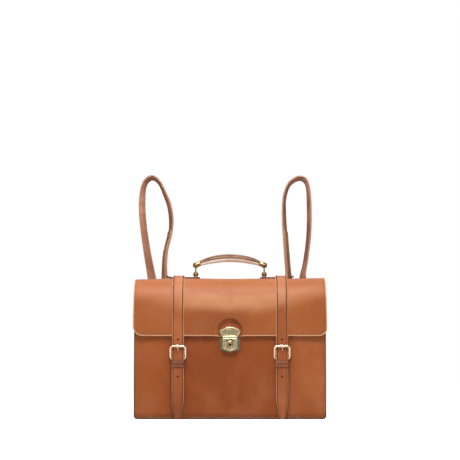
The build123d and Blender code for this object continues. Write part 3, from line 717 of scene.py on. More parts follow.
def shell_seams():
    """The sewing lines up both sides and along the flap's edge, across the foot, and round the notch."""
    edge, low = PANEL_HALF - SEAM_INSET, SHELL_END - SEAM_INSET
    right, left = RIGHT_CORNER - SEAM_INSET, LEFT_CORNER - SEAM_INSET
    start, stop = 10.0, NOTCH_RADIUS + 11
    sides = [[(edge, start)] + arc(edge - right, low - right, right, 0, 90, 10) + [(stop, low)],
             [(-edge, start)] + arc(-edge + left, low - left, left, 180, 90, 10) + [(-stop, low)]]
    foot = [(-edge, start), (-edge + 4, SEAM_INSET), (edge - 4, SEAM_INSET), (edge, start)]
    return sides, [foot, arc(0, NOTCH_T, NOTCH_RADIUS + 5.6, 20, -200, 30)]


def make_shell():
    columns, rows = shell_cuts()
    outside = sheet("shell_leather", shell_outline(0.0), shell_place, SHELL_THICK, columns, rows,
                    [SHELL, TAN_EDGE, SHELL], bevel=0.6)
    lining = sheet("shell_lining", shell_outline(3.0), shell_lining_place, LINING, columns, rows,
                   [SUEDE, SUEDE, SUEDE], bevel=0.0)
    darken_notch(outside)
    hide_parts("flap_leather", "back_panel")
    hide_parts("flap_lining", "back_lining")
    sides, others = shell_seams()
    rows = [track(line, shell_place) for line in sides + others]
    seam = stitches("shell_stitches", rows, THREAD, PANEL_SEAM)
    inner = stitches("shell_inner_stitches", [track(line, shell_inside_place) for line in sides],
                     LIGHT_THREAD, PANEL_SEAM)
    for piece in (outside, lining, seam, inner):
        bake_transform(piece)


# --- front panel, gussets and base ------------------------------------------------------------


def panel_swell(x, z):
    """How far the front panel swells out, in millimetres. It is flat behind the lock and magnets."""
    soft = noise.noise(Vector((x * 0.011, z * 0.013, 3.1))) * 1.1 + 0.5
    calm = ramp(sqrt((x / 46) ** 2 + ((z - 160) / 52) ** 2), 0.9, 1.5)
    catch = ramp(sqrt((abs(x) - STRAP_X) ** 2 + (z - 94) ** 2), 10, 34)
    return soft * calm * catch * ramp(PANEL_HALF - abs(x), 2, 40) * ramp(z, 4, 40)


def front_place(x, z, depth):
    return (x, FRONT_Y - panel_swell(x, z) + depth, z)


def make_front():
    outline = rounded(-PANEL_HALF, PANEL_HALF, 0.0, FRONT_HEIGHT, PANEL_CORNER, 0.5)
    panel = sheet("front_panel_leather", outline, front_place, PANEL_THICK,
                  spaced(-PANEL_HALF + 5, PANEL_HALF - 5, 9), spaced(5, FRONT_HEIGHT - 5, 8),
                  [PANEL, DARK_EDGE, SUEDE], bevel=0.9)
    edge, corner = PANEL_HALF - SEAM_INSET, 5.0
    low, top = SEAM_INSET + corner, FRONT_HEIGHT - 4
    sides = arc(-edge + corner, low, corner, 180, 270) + arc(edge - corner, low, corner, 270, 360)
    sides = [(-edge, top)] + sides + [(edge, top)]
    seam = stitches("front_panel_stitches", [track(sides, front_place)], THREAD, PANEL_SEAM)
    across = track([(-edge, top), (edge, top)], front_place)
    hem = stitches("front_hem_stitches", [across], THREAD, PANEL_SEAM)
    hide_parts("front_panel")
    hold("body", "tan_leather", panel, seam, hem)


def gusset_route():
    """Down the left side, across the base and up the right side."""
    r = GUSSET_CORNER
    points = [(-GUSSET_X, z) for z in spaced(GUSSET_HIGH, r + 1.0, 3.0)]
    points += arc(-GUSSET_X + r, r + 0.4, r, 180, 270)[1:]
    points += [(x, 0.4) for x in spaced(-GUSSET_X + r + 2, GUSSET_X - r - 2, 6.0)]
    points += arc(GUSSET_X - r, r + 0.4, r, 270, 360)
    return Route(points + [(GUSSET_X, z) for z in spaced(r + 1.0, GUSSET_HIGH, 3.0)[1:]])


GUSSET_LINE = gusset_route()


def gusset_place(t, y, depth):
    """A point of the long strip round the sides and base. The sides fold in a little along their middle."""
    x, z = GUSSET_LINE.at(t)
    heading = GUSSET_LINE.heading(t)
    x -= heading[1] * depth
    z += heading[0] * depth
    side = 1.0 if x > 0 else -1.0
    middle = 1.0 - (y / GUSSET_DEPTH) ** 2
    crease = max(0.0, 1.0 - abs(y) / 7.0)
    ripple = noise.noise(Vector((z * 0.02, y * 0.03, side * 5.0)))
    fold = ramp(z, 14, 225) * (4.2 * middle + 1.3 * crease + 1.4 * ripple * middle)
    return (x - side * fold * ramp(abs(x), 178, 190), y, z)


def make_gusset():
    length, d = GUSSET_LINE.length, GUSSET_DEPTH
    drop = GUSSET_HIGH - GUSSET_LOW
    outline = [(drop, -d), (length - drop, -d), (length, d), (0.0, d)]
    corner = GUSSET_LINE.where(lambda p: p[1] <= 9.0)
    bend = spaced(corner, corner + 13, 1.6)
    columns = spaced(10, corner - 6, 8) + bend + spaced(corner + 24, length - corner - 24, 20)
    columns += [length - t for t in reversed(bend)] + spaced(length - corner + 6, length - 10, 8)
    half_rows = [3, 6, 11, 18, 26, 34, 42, 48]
    rows = [-y for y in reversed(half_rows)] + [0] + half_rows
    strip = sheet("gusset_strip", outline, gusset_place, GUSSET_THICK, columns, rows,
                  [GUSSET, DARK_EDGE, SUEDE])
    left_hem = [(6.0 + drop * (d - y) / (2 * d), y) for y in (-d + 2, d - 2)]
    right_hem = [(length - t, y) for t, y in left_hem]
    seam = stitches("gusset_stitches", [track(line, gusset_place) for line in (left_hem, right_hem)], THREAD,
                    PANEL_SEAM)
    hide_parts("left_gusset", "right_gusset", "base_panel", "gusset_linings")
    hold("body", "tan_leather", strip, seam)


# --- buckled straps ---------------------------------------------------------------------------


def strap_route():
    """The underside of a strap: over the flap's top and front, then straight down to the tip."""
    points = []
    for y in spaced(44.0, CREST_Y, 1.5):
        over_tab = 3.2 * ramp(y, -28, -15) * ramp(-y, -16, -3)
        points.append((y, top_z(y) + over_tab))
    points += arc(CREST_Y, CREST_Z - BEND, BEND, 90, 180, 60)[1:]
    down = spaced(CREST_Z - BEND, 1.0, 2.0)[1:]
    return Route(points + [(FLAP_Y + 1.8 * ramp(-z, -80, -1), z) for z in down])


STRAP_LINE = strap_route()
TIP_T = STRAP_LINE.length
STRAP_SLOTS = [1, 1, 1, 0, 2, 2, 0, 0, 0, 2, 2, 0, 1, 1, 1, 0]


def strap_half(t):
    """The strap's half width at a length along it, with a taper and rounded ends."""
    from_tip = TIP_T - t
    half = TIP_HALF + (STRAP_HALF - TIP_HALF) * min(from_tip / 35.0, 1.0)
    half -= 2.6 * (1 - ramp(from_tip, -1.0, 3.0))
    return half - 2.0 * (1 - ramp(t, -0.5, 2.5))


def strap_section(half):
    """Across a strap: its underside, shaved edges, pressed lines and slightly crowned top."""
    inset = half / STRAP_HALF
    right = [(half - 0.5 * inset, 0.0), (half, 0.5), (half, 1.9), (half - 0.55 * inset, 2.5),
             (half - 1.5 * inset, 2.70), (half - 2.2 * inset, 2.42), (half - 2.9 * inset, 2.74),
             (half * 0.45, 2.95)]
    return right + [(-u, h) for u, h in reversed(right)]


def strap_place(x, u, t, height):
    """A point of the strap in the middle at x, u across it and height above its underside."""
    y, z = STRAP_LINE.at(t)
    heading = STRAP_LINE.heading(t)
    return (x + u, y + heading[1] * height, z - heading[0] * height + crest_wave(x + u) * ramp(z, 200, 286))


def strap_stations():
    """The lengths at which a strap has a ring of points, closest at its ends and bends."""
    bend = STRAP_LINE.where(lambda p: p[1] <= STRAP_BEND_Z + 14)
    stations = [0.0, 0.8, 2.2] + spaced(5, 52, 5) + spaced(54, 70, 2.5) + spaced(73, bend - 4, 4)
    stations += spaced(bend, bend + 28, 2) + spaced(bend + 34, TIP_T - 42, 7)
    return stations + spaced(TIP_T - 38, TIP_T - 4, 4) + [TIP_T - 2, TIP_T - 0.8, TIP_T]


def punch(strap, x):
    """Cuts the strap's holes, blind and near-black inside as painted shade, and the larger one that the prong
    goes through.
    """
    depth = 10.0
    middle = FLAP_Y - 0.3 - depth / 2
    for z, radius in [(z, 1.85) for z in HOLES_Z] + [(PRONG_HOLE_Z, 2.3)]:
        rings = [[(x + u, middle + h, z + v) for u, v in circle(radius, 20)] for h in (-depth / 2, depth / 2)]
        cutter = loft("hole", rings, [HOLE_SHADE])
        hole = strap.modifiers.new("hole", "BOOLEAN")
        hole.object = cutter
        hole.operation = "DIFFERENCE"
        hole.material_mode = "TRANSFER"
        bpy.context.view_layer.update()
        apply_modifiers(strap)
        bpy.data.objects.remove(cutter)
    strap.data.set_sharp_from_angle(angle=radians(SHARP))


def make_strap(side, name):
    x = side * STRAP_X
    rings = [[strap_place(x, u, t, h) for u, h in strap_section(strap_half(t))] for t in strap_stations()]
    strap = loft(f"{name}_strap", rings, [STRAP, PALE_EDGE, CREASE], STRAP_SLOTS)
    punch(strap, x)
    seam_end = STRAP_LINE.where(lambda p: p[1] <= STRAP_BEND_Z + 3)
    reach = STRAP_HALF - 3.0
    sewn = [(-reach, seam_end), (-reach, 4.0), (reach, 4.0), (reach, seam_end)]
    rows = [track(sewn, lambda u, t, d: strap_place(x, u, t, STRAP_THICK - d))]
    seam = stitches(f"{name}_strap_stitches", rows, BROWN_THREAD_AND_SHADE, STRAP_SEAM)
    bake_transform(strap)
    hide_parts(f"{name}_strap_upper", f"{name}_strap_lower")
    hold("flap", "strap_leather", seam)


def make_keeper(side, name):
    """The fixed leather loop below the buckle."""
    x, y = side * STRAP_X, (KEEPER_FRONT + KEEPER_BACK) / 2
    thick, corner = 1.4, 1.2
    a, b = 12.8, (KEEPER_BACK - KEEPER_FRONT) / 2 - thick
    inner = rounded(-a, a, -b, b, corner)
    outer = rounded(-a - thick, a + thick, -b - thick, b + thick, corner + thick)
    low, high = KEEPER_LOW, KEEPER_HIGH
    profile = [(0.0, low + 0.4), (0.35, low), (0.65, low), (1.0, low + 0.4), (1.0, high - 0.4), (0.65, high),
               (0.35, high), (0.0, high - 0.4)]
    rings = [[(x + p[0] + (q[0] - p[0]) * f, y + p[1] + (q[1] - p[1]) * f, z) for f, z in profile]
             for p, q in zip(inner, outer)]
    keeper = loft(f"{name}_keeper_band", rings, [KEEPER, DARK_EDGE], [1, 1, 1, 0, 1, 1, 1, 0], joined=True)
    rows = [track([(-11.5, z), (11.5, z)], lambda u, z, d: (x + u, KEEPER_FRONT - 0.05 + d, z))
            for z in (107.2, 115.4)]
    seam = stitches(f"{name}_keeper_stitches", rows, LIGHT_THREAD, KEEPER_SEAM)
    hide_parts(f"{name}_keeper")
    hold(f"{name}_strap", "strap_leather", keeper, seam)


def make_buckle_frame(side, name):
    """The buckle's rounded bar, thickest at its sides, and the roller on its upper end."""
    x = side * STRAP_X
    heel, roller = Vector((0, *HEEL)), Vector((0, *ROLLER))
    up = (roller - heel).normalized()
    centres, sizes = [], []
    for a, b in rounded(-BUCKLE_HALF, BUCKLE_HALF, 0.0, (roller - heel).length, 5.2):
        centres.append(Vector((x + a, 0, 0)) + heel + up * b)
        on_side = ramp(abs(a), 8.0, 14.0)
        sizes.append((1.75 + 0.5 * on_side, 1.6 + 0.3 * on_side))
    bar = sweep(f"{name}_buckle_bar", centres, sizes, BRASS, Vector((1, 0, 0)).cross(up), joined=True)
    spread = [(-11.9, 1.7), (-11.6, 2.3), (-10.8, 2.4), (10.8, 2.4), (11.6, 2.3), (11.9, 1.7)]
    rings = [[(x + at, ROLLER[0] + u, ROLLER[1] + v) for u, v in circle(r, 24)] for at, r in spread]
    tube = loft(f"{name}_roller_tube", rings, [BRASS])
    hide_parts(f"{name}_buckle_frame")
    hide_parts(f"{name}_buckle_roller")
    hold(f"{name}_strap", "brass", bar)
    hold(f"{name}_roller", "brass", tube)


def make_prong(side, name):
    """The prong, from its eye round the heel bar to its tip on the roller."""
    x = side * STRAP_X
    y, z = HEEL
    line = [(y - 2.2, z + 0.6), (y - 2.3, z + 6), (y - 2.6, z + 11), (-62.4, 137.6), (-66.9, 142.0),
            (-69.8, 144.9), (-71.1, 147.2), (-71.4, 149.2), (-71.2, 150.6)]
    sizes = [(w, w * 0.8) for w in (1.5, 1.5, 1.5, 1.6, 1.8, 1.9, 1.8, 1.4, 0.6)]
    shank = sweep(f"{name}_prong_shank", [(x, *p) for p in line], sizes, BRASS, (1, 0, 0))
    ring = [(x, y + u, z + v) for u, v in circle(2.3, 20)]
    eye = sweep(f"{name}_prong_eye", ring, [(0.62, 1.4)] * len(ring), BRASS, (1, 0, 0), joined=True)
    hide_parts(f"{name}_buckle_prong")
    hold(f"{name}_prong", "brass", shank, eye)


# --- handle -----------------------------------------------------------------------------------


def make_ring_tab(side, name):
    """The strip on the crest that holds a handle bracket."""

    def place(x, y, depth):
        curl = 3.2 * ramp(abs(x), 119, 134)
        return (x, y, top_z(y) + 2.9 + curl - depth + crest_wave(x))

    low, high, half = *sorted((side * 132.0, side * 62.0)), 10.0
    left, right = (9.5, 2.5) if side > 0 else (2.5, 9.5)
    near, far = HANDLE_Y - half, HANDLE_Y + half
    outline = arc(low + left, near + left, left, 180, 270) + arc(high - right, near + right, right, 270, 360)
    outline += arc(high - right, far - right, right, 0, 90) + arc(low + left, far - left, left, 90, 180)
    tab = sheet(f"{name}_ring_tab", outline, place, 3.0, spaced(low + 4, high - 4, 8),
                spaced(near + 2, far - 2, 4), [PAINTED_SHADE_TAB, DARK_EDGE, PAINTED_SHADE_TAB], bevel=0.4)
    inner = rounded(low + 2.4, high - 2.4, near + 2.4, far - 2.4, 3.0)
    seam = stitches(f"{name}_ring_tab_stitches", [track(inner, place, closed=True)], LIGHT_THREAD, TAB_SEAM)
    hold("flap", "tan_leather", tab, seam)
    return tab


def grip_size(at):
    """The grip's half width and its reach above and below, at a place from -1 to 1 along it."""
    full = 1 - abs(at) ** 3.2
    return 6.2 + 5.6 * full, 4.6 + 3.7 * full, -3.7 - 2.7 * full


def grip_place(angle, u, h):
    """A point of the handle, u across it and h above its middle line, at an angle along its arc."""
    centre_z = UPPER_PIN_Z + GRIP_RISE - GRIP_RADIUS
    radius = GRIP_RADIUS + h
    return (radius * sin(angle), HANDLE_Y + u, centre_z + radius * cos(angle))


def grip_section(at):
    """Across the grip: the dark leather's round top, a seam on each side and the pale underside, whose
    near-white is partly a painted reflection of the floor.
    """
    wide, top, under = grip_size(at)
    above = [(wide * cos(a), 0.6 + top * sin(a) ** 0.85) for a in [pi * k / 14 for k in range(15)]]
    turns = [pi * k / 12 for k in range(11, 0, -1)]
    below = [(wide * cos(a) * 0.94, under * sin(a) ** 0.7 - 0.9) for a in turns]
    seam = [(wide * 1.01, 0.1), (wide * 0.97, -0.4)]
    return above + [(-u, h) for u, h in seam] + below + seam[::-1]


def grip_seam(side, reach):
    """The sewing line along one side of the grip's top."""
    line = []
    turn = 0.30
    for at in spaced(-0.97, 0.97, 1.94 / 120):
        wide, top, _ = grip_size(at)
        u, h = side * wide * cos(turn), 0.6 + top * sin(turn) ** 0.85
        point = Vector(grip_place(at * reach, u, h))
        inner = Vector(grip_place(at * reach, u * 0.8, h * 0.8))
        line.append((point, (point - inner).normalized()))
    return line


def make_grip():
    reach = atan2(HANDLE_HALF, GRIP_RADIUS - GRIP_RISE) - 10.0 / GRIP_RADIUS
    rings = []
    for at in spaced(-1.0, 1.0, 1 / 24):
        tuck = 0.86 if abs(at) == 1.0 else 1.0
        rings.append([grip_place(at * reach, u * tuck, h * tuck) for u, h in grip_section(at)])
    slots = [0] * 14 + [2] * 2 + [1] * 12 + [2] * 2
    grip = loft("handle_grip_leather", rings, [GRIP, PALE_LEATHER_AND_REFLECTION, DARK_EDGE], slots)
    rows = [grip_seam(side, reach) for side in (-1, 1)]
    seam = stitches("handle_stitches", rows, LIGHT_THREAD, FITTING_SEAM)
    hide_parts("handle_grip", "handle_underside")
    hold("handle", "strap_leather", grip, seam)


# --- backpack straps --------------------------------------------------------------------------


def smooth_line(points, steps):
    """A Catmull-Rom curve through points of any dimension."""
    p = np.array(points, float)
    p = np.vstack([2 * p[0] - p[1], p, 2 * p[-1] - p[-2]])
    line = []
    for a, b, c, d in zip(p, p[1:], p[2:], p[3:]):
        for k in range(steps):
            t = k / steps
            line.append(0.5 * (2 * b + (c - a) * t + (2 * a - 5 * b + 4 * c - d) * t**2
                               + (3 * b - a - 3 * c + d) * t**3))
    return line + [p[-2]]


def carry_route(side, loop):
    """The whole strap, as X, Y, Z and turn: up from its sewn root, round the loop, and down the back."""
    inner, outer = side * INNER_X, side * OUTER_X
    hinge_y, hinge_z = CARRY_HINGE
    points = [(inner, CARRY_ROOT_Y, z, 90) for z in (227, 236, 246)] + [(inner, CARRY_ROOT_Y + 0.6, 256, 84)]
    points.append(((inner + loop[0][0]) / 2, 63.0, 274, 56))
    points += [(x, hinge_y + (z - hinge_z) * tan(LEAN), z, turn) for x, z, turn in loop]
    points.append(((outer + loop[-1][0]) / 2, 63.0, 274, 72))
    points.append((outer, CARRY_ROOT_Y + 0.6, 256, 86))
    points += [(outer, CARRY_ROOT_Y, z, 90) for z in [*range(244, 60, -14), 57]]
    return smooth_line(points, 10)


def ribbon_frame(line, i, side):
    """The ribbon's centre, direction across its width and direction out of its grain face."""
    here = Vector(line[i][:3])
    ahead, behind = Vector(line[min(i + 1, len(line) - 1)][:3]), Vector(line[max(i - 1, 0)][:3])
    along = (ahead - behind).normalized()
    back = Vector((0, cos(LEAN), -sin(LEAN))) if here.z > 275 else Vector((0, 1, 0))
    out = along.cross(back).normalized() * side
    back = (back - along * along.dot(back)).normalized()
    turn = radians(line[i][3])
    grain = (out * cos(turn) + back * sin(turn)).normalized()
    return here, along.cross(grain).normalized(), grain


def ribbon_section(half, thick):
    """Across a flat strap: shaved edges, and a pressed line near each on both faces."""
    t = thick / 2
    edge = [(0.5, t), (0.0, t - 0.6), (0.0, 0.6 - t), (0.5, -t), (2.4, -t), (2.7, 0.2 - t), (3.0, -t)]
    line = [(2.6, t + 0.1), (3.0, t - 0.2), (3.4, t + 0.1)]
    section = [(half - inset, h) for inset, h in edge] + [(inset - half, h) for inset, h in reversed(edge)]
    section += [(inset - half, h) for inset, h in line]
    return section + [(half - inset, h) for inset, h in reversed(line)]


def ribbon(name, line, side, half, thick, materials, lift=0.0):
    """A flat strap along a line. lift moves it off the line, away from its grain face."""
    section = ribbon_section(half, thick)
    rings = []
    for i in range(len(line)):
        centre, across, grain = ribbon_frame(line, i, side)
        narrow = 1.0 if 0 < i < len(line) - 1 else 0.94
        rings.append([centre + across * u * narrow + grain * (h - lift) for u, h in section])
    slots = [2] * 3 + [1] * 7 + [2] * 3 + [0, 3, 3] * 2 + [0]
    return loft(name, rings, materials, slots)


def make_carry_strap(side, name, loop):
    line = carry_route(side, loop)
    materials = [CARRY, FLESH, CARRY_EDGE, CREASE]
    strap = ribbon(f"{name}_carry_strap", line, side, CARRY_HALF, CARRY_THICK, materials)
    first, last = [[p[2] > z for p in line].index(True) for z in (SPLICE_LOW, SPLICE_HIGH)]
    doubled = line[first:last]
    splice = ribbon(f"{name}_carry_splice", doubled, side, CARRY_HALF - 0.6, 2.0,
                    [FLESH, FLESH, CARRY_EDGE, FLESH], lift=CARRY_THICK / 2 + 1.0)
    rows = []
    for edge in (-1, 1):
        row = []
        for i in range(len(doubled)):
            centre, across, grain = ribbon_frame(doubled, i, side)
            point = centre + across * edge * (CARRY_HALF - 2.7) - grain * (CARRY_THICK / 2 + 2.0)
            row.append((point, -grain))
        rows.append(row)
    seam = stitches(f"{name}_splice_stitches", rows, LIGHT_THREAD, SPLICE_SEAM)
    body = f"{name}_carry_loop"
    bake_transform(strap)
    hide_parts(body)
    hold(body, "strap_leather", splice, seam)
    return strap


def back_place(offset):
    """How pieces lie on the back, with their outer face at an offset from it."""
    return lambda x, z, depth: (x, BACK_Y + offset - depth, z)


def join(objects, name):
    """Several objects as one."""
    merged = bmesh.new()
    for obj in objects:
        merged.from_mesh(obj.data)
    mesh = bpy.data.meshes.new(name)
    merged.to_mesh(mesh)
    merged.free()
    for material in objects[0].data.materials:
        mesh.materials.append(material)
    mesh.set_sharp_from_angle(angle=radians(SHARP))
    for obj in objects:
        bpy.data.objects.remove(obj)
    return add_object(name, mesh)


def make_back_fittings():
    """The sewn patches, the strap roots' seams and the chapes at the base."""
    patches, seams = [], []
    materials = [TAB, TAN_EDGE, TAB]
    on_patch, on_chape = back_place(2.0), back_place(3.0)
    on_root = back_place(CARRY_ROOT_Y - BACK_Y + CARRY_THICK / 2)
    for side in (-1, 1):
        x = side * INNER_X
        patches.append(sheet("patch", rounded(x - 12.5, x + 12.5, 222, 260, 4), on_patch, 1.95,
                             spaced(x - 9, x + 9, 6), spaced(226, 256, 6), materials, bevel=0.4))
        seams.append(track(rounded(x - 10.9, x + 10.9, 223.6, 258.4, 3), on_patch, closed=True))
        low, high, half = 229.5, 252, 7.2
        seams.append(track(rounded(x - half, x + half, low, high, 1), on_root, closed=True))
        seams.append(track([(x - half, low), (x + half, high)], on_root))
        seams.append(track([(x + half, low), (x - half, high)], on_root))
        x = side * OUTER_X
        patches.append(sheet("patch", rounded(x - 11.9, x + 11.9, 14, 44, 4, 1), on_chape, 2.9,
                             spaced(x - 9, x + 9, 6), spaced(18, 40, 5), materials, bevel=0.5))
        seams.append(track(rounded(x - 9.6, x + 9.6, 16.4, 38, 3, 1), on_chape, closed=True))
    patch = join(patches, "back_patches")
    seam = stitches("back_fitting_stitches", seams, LIGHT_THREAD, FITTING_SEAM)
    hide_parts("top_anchors")
    hold("body", "tan_leather", patch, seam)


# --- inside -----------------------------------------------------------------------------------


def divider_place(x, z, depth):
    wave = noise.noise(Vector((x * 0.012, z * 0.01, 9.0))) * 2.2 * ramp(DIVIDER_HALF - abs(x), 0, 40)
    return (x, wave - 1.1 + depth, z)


def binding_place(x, z, depth):
    return divider_place(x, z, depth - 0.5)


def make_divider():
    """The centre divider: two faces of suede that wave a little, bound along the top."""
    half, columns = DIVIDER_HALF, spaced(-180, 180, 12)
    divider = sheet("divider_suede", rounded(-half, half, 6, 226, 6, 3), divider_place, 2.2, columns,
                    spaced(14, 222, 12), [SUEDE, SUEDE, SUEDE], bevel=0.4)
    binding = sheet("divider_binding", rounded(-half, half, 216, 227.2, 1), binding_place, 3.2, columns,
                    [221.0], [STRAP, TAN_EDGE, STRAP], bevel=0.5)
    seam = stitches("divider_stitches", [track([(2 - half, 218.2), (half - 2, 218.2)], binding_place)],
                    LIGHT_THREAD, LINING_SEAM)
    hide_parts("divider")
    hold("body", "suede_lining", divider, binding, seam)


def pocket_place(x, z, depth):
    full = ramp(POCKET_HALF - abs(x), 0, 30) * ramp(z, 62, 90)
    return (x, 49.6 - 2.6 * full + depth, z)


def make_pocket():
    """The slip pocket on the back wall."""
    half = POCKET_HALF
    pocket = sheet("slip_pocket_leather", rounded(-half, half, 62, 205, 8, 2), pocket_place, 1.6,
                   spaced(-108, 108, 9), spaced(68, 200, 9), [STRAP, TAN_EDGE, SUEDE])
    edge = [(-112, 203), (-112, 72), (-105, 65), (105, 65), (112, 72), (112, 203)]
    mouth = [(-111, 199), (111, 199)]
    rows = [track(line, pocket_place) for line in (edge, mouth)]
    seam = stitches("slip_pocket_stitches", rows, LIGHT_THREAD, LINING_SEAM)
    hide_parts("slip_pocket")
    hold("body", "suede_lining", pocket, seam)


# --- lock -------------------------------------------------------------------------------------


def facing(y):
    """How flat pieces stand in front of the bag, with their outer face at y."""
    return lambda x, z, depth: (x, y + depth, z)


def make_lock_tab():
    """The leather tab seen in the notch."""
    outline = [(-30, 166.6), (30, 166.6)] + arc(0, 187, 30, 0, 180, 24)
    tab = sheet("lock_tab_leather", outline, facing(-58.2), 2.3, spaced(-26, 26, 7), spaced(170, 214, 6),
                [TAB, TAN_EDGE, TAB], bevel=0.4)
    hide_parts("lock_tab")
    hold("flap", "tan_leather", tab)


def raised_line(name, outline, y, half_wide, half_high, material, closed=True):
    """A rounded bar that runs along an outline on the lock's front."""
    if closed:
        route = Route(outline + outline[:1])
        outline = [tuple(route.at(t)) for t in spaced(0.0, route.length, 0.8)][:-1]
    centres = [(x, y, z) for x, z in outline]
    return sweep(name, centres, [(half_wide, half_high)] * len(centres), material, (0, -1, 0), closed, 10)


def hasp_outline(inset):
    """The fan-shaped plate: a narrow neck, slanting sides and an arched top."""
    half, low = 15.3 - inset, 164.7 + inset
    wide, shoulder = 22.4 - inset * 1.1, 177.8 - inset * 0.2
    radius = 34.7 - inset
    spread = degrees(atan2(wide, shoulder - HASP_CENTRE_Z))
    top = [(radius * sin(radians(a)), HASP_CENTRE_Z + radius * cos(radians(a)))
           for a in spaced(spread, -spread, 4)]
    return [(-half, low), (half, low)] + top


def make_hasp():
    plate = sheet("hasp_plate_fan", hasp_outline(0.3), facing(HASP_Y), 2.1, spaced(-20, 20, 5),
                  spaced(168, 184, 4), [RECESS, ANTIQUE, ANTIQUE], bevel=0.3)
    rim = raised_line("hasp_rim", hasp_outline(1.7), HASP_Y, 1.7, 0.95, ANTIQUE)
    line = raised_line("hasp_inner_line", hasp_outline(4.6), HASP_Y, 0.3, 0.25, ANTIQUE)
    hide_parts("hasp_plate")
    hold("flap", "antique_brass", plate, rim, line)


def face_outline(inset):
    """The lock's front: straight sides, a straight top and a pointed foot."""
    half, top, shoulder = 15.3 - inset, 163.8 - inset, 142.2 + inset * 0.8
    return [(0, 136.2 + inset), (half, shoulder), (half, top), (-half, top), (-half, shoulder)]


def make_lock_face():
    """The lock's front plate with a raised border, a curved slot and two rings round the button. The slot,
    the gap inside the ring and the keyway are near-black as painted shade.
    """
    y, z = LOCK_FACE_Y, LOCK_Z
    plate = sheet("lock_front_plate", face_outline(0.0), facing(y), 1.3, spaced(-12, 12, 4),
                  spaced(140, 160, 4), [ANTIQUE, ANTIQUE, ANTIQUE], bevel=0.5)
    border = raised_line("lock_front_border", face_outline(1.5), y, 0.9, 0.45, ANTIQUE)
    slot = raised_line("lock_slot", arc(0, z, 9.9, 38, 142, 24), y, 0.85, 0.22, SHADE_BRASS, closed=False)
    lips = [raised_line(f"lock_slot_lip_{i}", arc(0, z, radius, 36, 144, 24), y, 0.35, 0.5, ANTIQUE, False)
            for i, radius in enumerate((8.9, 11.0))]
    ring = raised_line("lock_ring", arc(0, z, 7.0, 0, 350, 35), y, 0.9, 0.8, ANTIQUE)
    gap = raised_line("lock_ring_gap", arc(0, z, 5.6, 0, 350, 35), y, 0.75, 0.15, SHADE_BRASS)
    # a near-black disc behind the keyhole: painted shade
    spread = [(-63.1, 0.3), (-63.1, 2.5), (-62.7, 2.6), (-62.7, 0.3)]
    rings = [[(u, at, z + v) for u, v in circle(r, 20)] for at, r in spread]
    keyway = loft("lock_keyway", rings, [SHADE_BRASS])
    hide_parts("lock_face")
    hold("lock_plug", "antique_brass", keyway)
    hold("body", "antique_brass", plate, border, slot, *lips, ring, gap)


# --- CAD nodes that keep their shape ----------------------------------------------------------

DRESSED = (
    (SUEDE, 0.0, ["front_lining"]),
    (BOARD, 0.0, ["base_board"]),
    (HANDLE_BRASS, 0.35, ["handle_brackets", "left_handle_end", "right_handle_end"]),
    (HANDLE_BRASS, 0.3, ["left_handle_link", "right_handle_link"]),
    (BRASS, 0.0, ["base_rings"]),
    (BRASS, 0.3, ["strap_studs"]),
    (ANTIQUE, 0.3, ["lock_button"]),
    # the plug, seen through the keyhole, is near-black as painted shade
    (SHADE_BRASS, 0.1, ["lock_plug"]),
    # partly patina, partly painted shade on the recessed lock parts
    (ANTIQUE_PATINA_AND_SHADE, 0.2, ["lock_base", "hasp_tongue", "hasp_rivets"]),
    (STEEL, 0.2, ["lock_latch", "lock_backing", "lock_screws", "magnet_bases"]),
    (STEEL, 0.2, ["left_magnet_cap", "right_magnet_cap", "lower_pins", "upper_pins"]),
    (STRAP, 0.3, ["left_chape", "right_chape"]),
    (TAB, 0.3, ["base_chapes"]),
)


def dress(material, bevel, name):
    """Gives a CAD node a material, and rounds its edges."""
    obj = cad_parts[name]
    for slot in obj.material_slots:
        slot.link = "OBJECT"
        slot.material = material
    if bevel:
        weld = obj.modifiers.new("weld", "WELD")
        weld.merge_threshold = 0.00001
        add_bevel(obj, bevel, 35.0).harden_normals = True


# --- room -------------------------------------------------------------------------------------

AMBIENT = 0.34  # the room's light on the object; the background itself is white
FLOOR_SEEN, FLOOR_GLOW = 0.80, 0.15  # the floor's own light, as the camera sees it and for the rest
FLOOR_HALF = 4000.0

# each light: name, place, what it faces, size and power in watts
LIGHTS = (
    ("key", (0.0, -0.50, 0.98), (0, -0.06, 0.22), (0.42, 0.32), 10.5),
    ("left_fill", (-1.05, -0.95, 0.45), (-0.1, 0, 0.15), (0.4, 1.2), 2.8),
    ("right_fill", (1.05, -0.95, 0.45), (0.1, 0, 0.15), (0.4, 1.2), 1.2),
    ("back", (0.0, 1.0, 1.5), (0, 0, 0.25), (1.6, 0.8), 8),
)


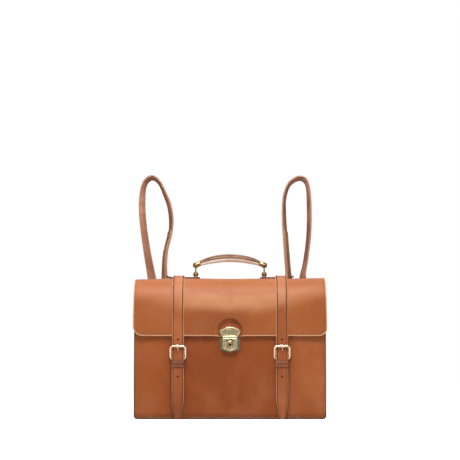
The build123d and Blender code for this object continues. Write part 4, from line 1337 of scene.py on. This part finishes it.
def make_floor():
    s = Shader("pale_floor", Specular_IOR_Level=0.1, Emission_Color=(1, 1, 1, 1))
    s.finish(s.mix(s.noise(3.0), (0.62, 0.62, 0.62, 1), (0.65, 0.65, 0.65, 1)), 0.9)
    seen = s.add("ShaderNodeLightPath").outputs["Is Camera Ray"]
    s.feed(s.surface.inputs["Emission Strength"], s.remap(seen, 0.0, 1.0, FLOOR_GLOW, FLOOR_SEEN))
    corners = [(x * FLOOR_HALF, y * FLOOR_HALF, 0) for x, y in ((-1, -1), (1, -1), (1, 1), (-1, 1))]
    make_object("floor", corners, [[0, 1, 2, 3]], [s.material])


def make_world():
    """A white background, which lights the object more softly than it looks."""
    world = bpy.data.worlds.new("studio")
    world.use_nodes = True
    tree = world.node_tree
    soft = tree.nodes["Background"]
    soft.inputs["Strength"].default_value = AMBIENT
    white = tree.nodes.new("ShaderNodeBackground")
    for background in (soft, white):
        background.inputs["Color"].default_value = (1.0, 1.0, 1.0, 1.0)
    both = tree.nodes.new("ShaderNodeMixShader")
    seen = tree.nodes.new("ShaderNodeLightPath").outputs["Is Camera Ray"]
    for i, socket in enumerate((seen, soft.outputs[0], white.outputs[0])):
        tree.links.new(socket, both.inputs[i])
    tree.links.new(both.outputs[0], tree.nodes["World Output"].inputs["Surface"])
    bpy.context.scene.world = world
    bpy.context.scene.view_settings.view_transform = "Standard"


def make_light(name, place, aim, size, power):
    data = bpy.data.lights.new(name, "AREA")
    data.shape = "RECTANGLE"
    data.size, data.size_y = size
    data.energy = power
    obj = add_object(name, data)
    obj.location = place
    obj.rotation_euler = (Vector(aim) - Vector(place)).to_track_quat("-Z", "Y").to_euler()


def make_camera():
    camera = bpy.data.cameras.new("camera")
    camera.lens = 107.5
    camera.sensor_width = 36.0
    obj = add_object("camera", camera)
    obj.location = (0.0, -2.855, 0.14)
    obj.rotation_euler = (radians(90 + 4.985), 0, 0)
    bpy.context.scene.camera = obj


make_floor()
make_world()
for settings in LIGHTS:
    make_light(*settings)
make_camera()
make_shell()
make_front()
make_gusset()
for side, name in ((-1, "left"), (1, "right")):
    make_strap(side, name)
    make_keeper(side, name)
    make_buckle_frame(side, name)
    make_prong(side, name)
    make_ring_tab(side, name)
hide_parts("ring_tabs")
make_grip()
carry = [make_carry_strap(-1, "left", LEFT_LOOP), make_carry_strap(1, "right", RIGHT_LOOP)]
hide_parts("carry_strap_roots", "carry_strap_legs")
make_back_fittings()
make_divider()
make_pocket()
make_lock_tab()
make_hasp()
make_lock_face()
for material, bevel, names in DRESSED:
    for name in names:
        dress(material, bevel, name)
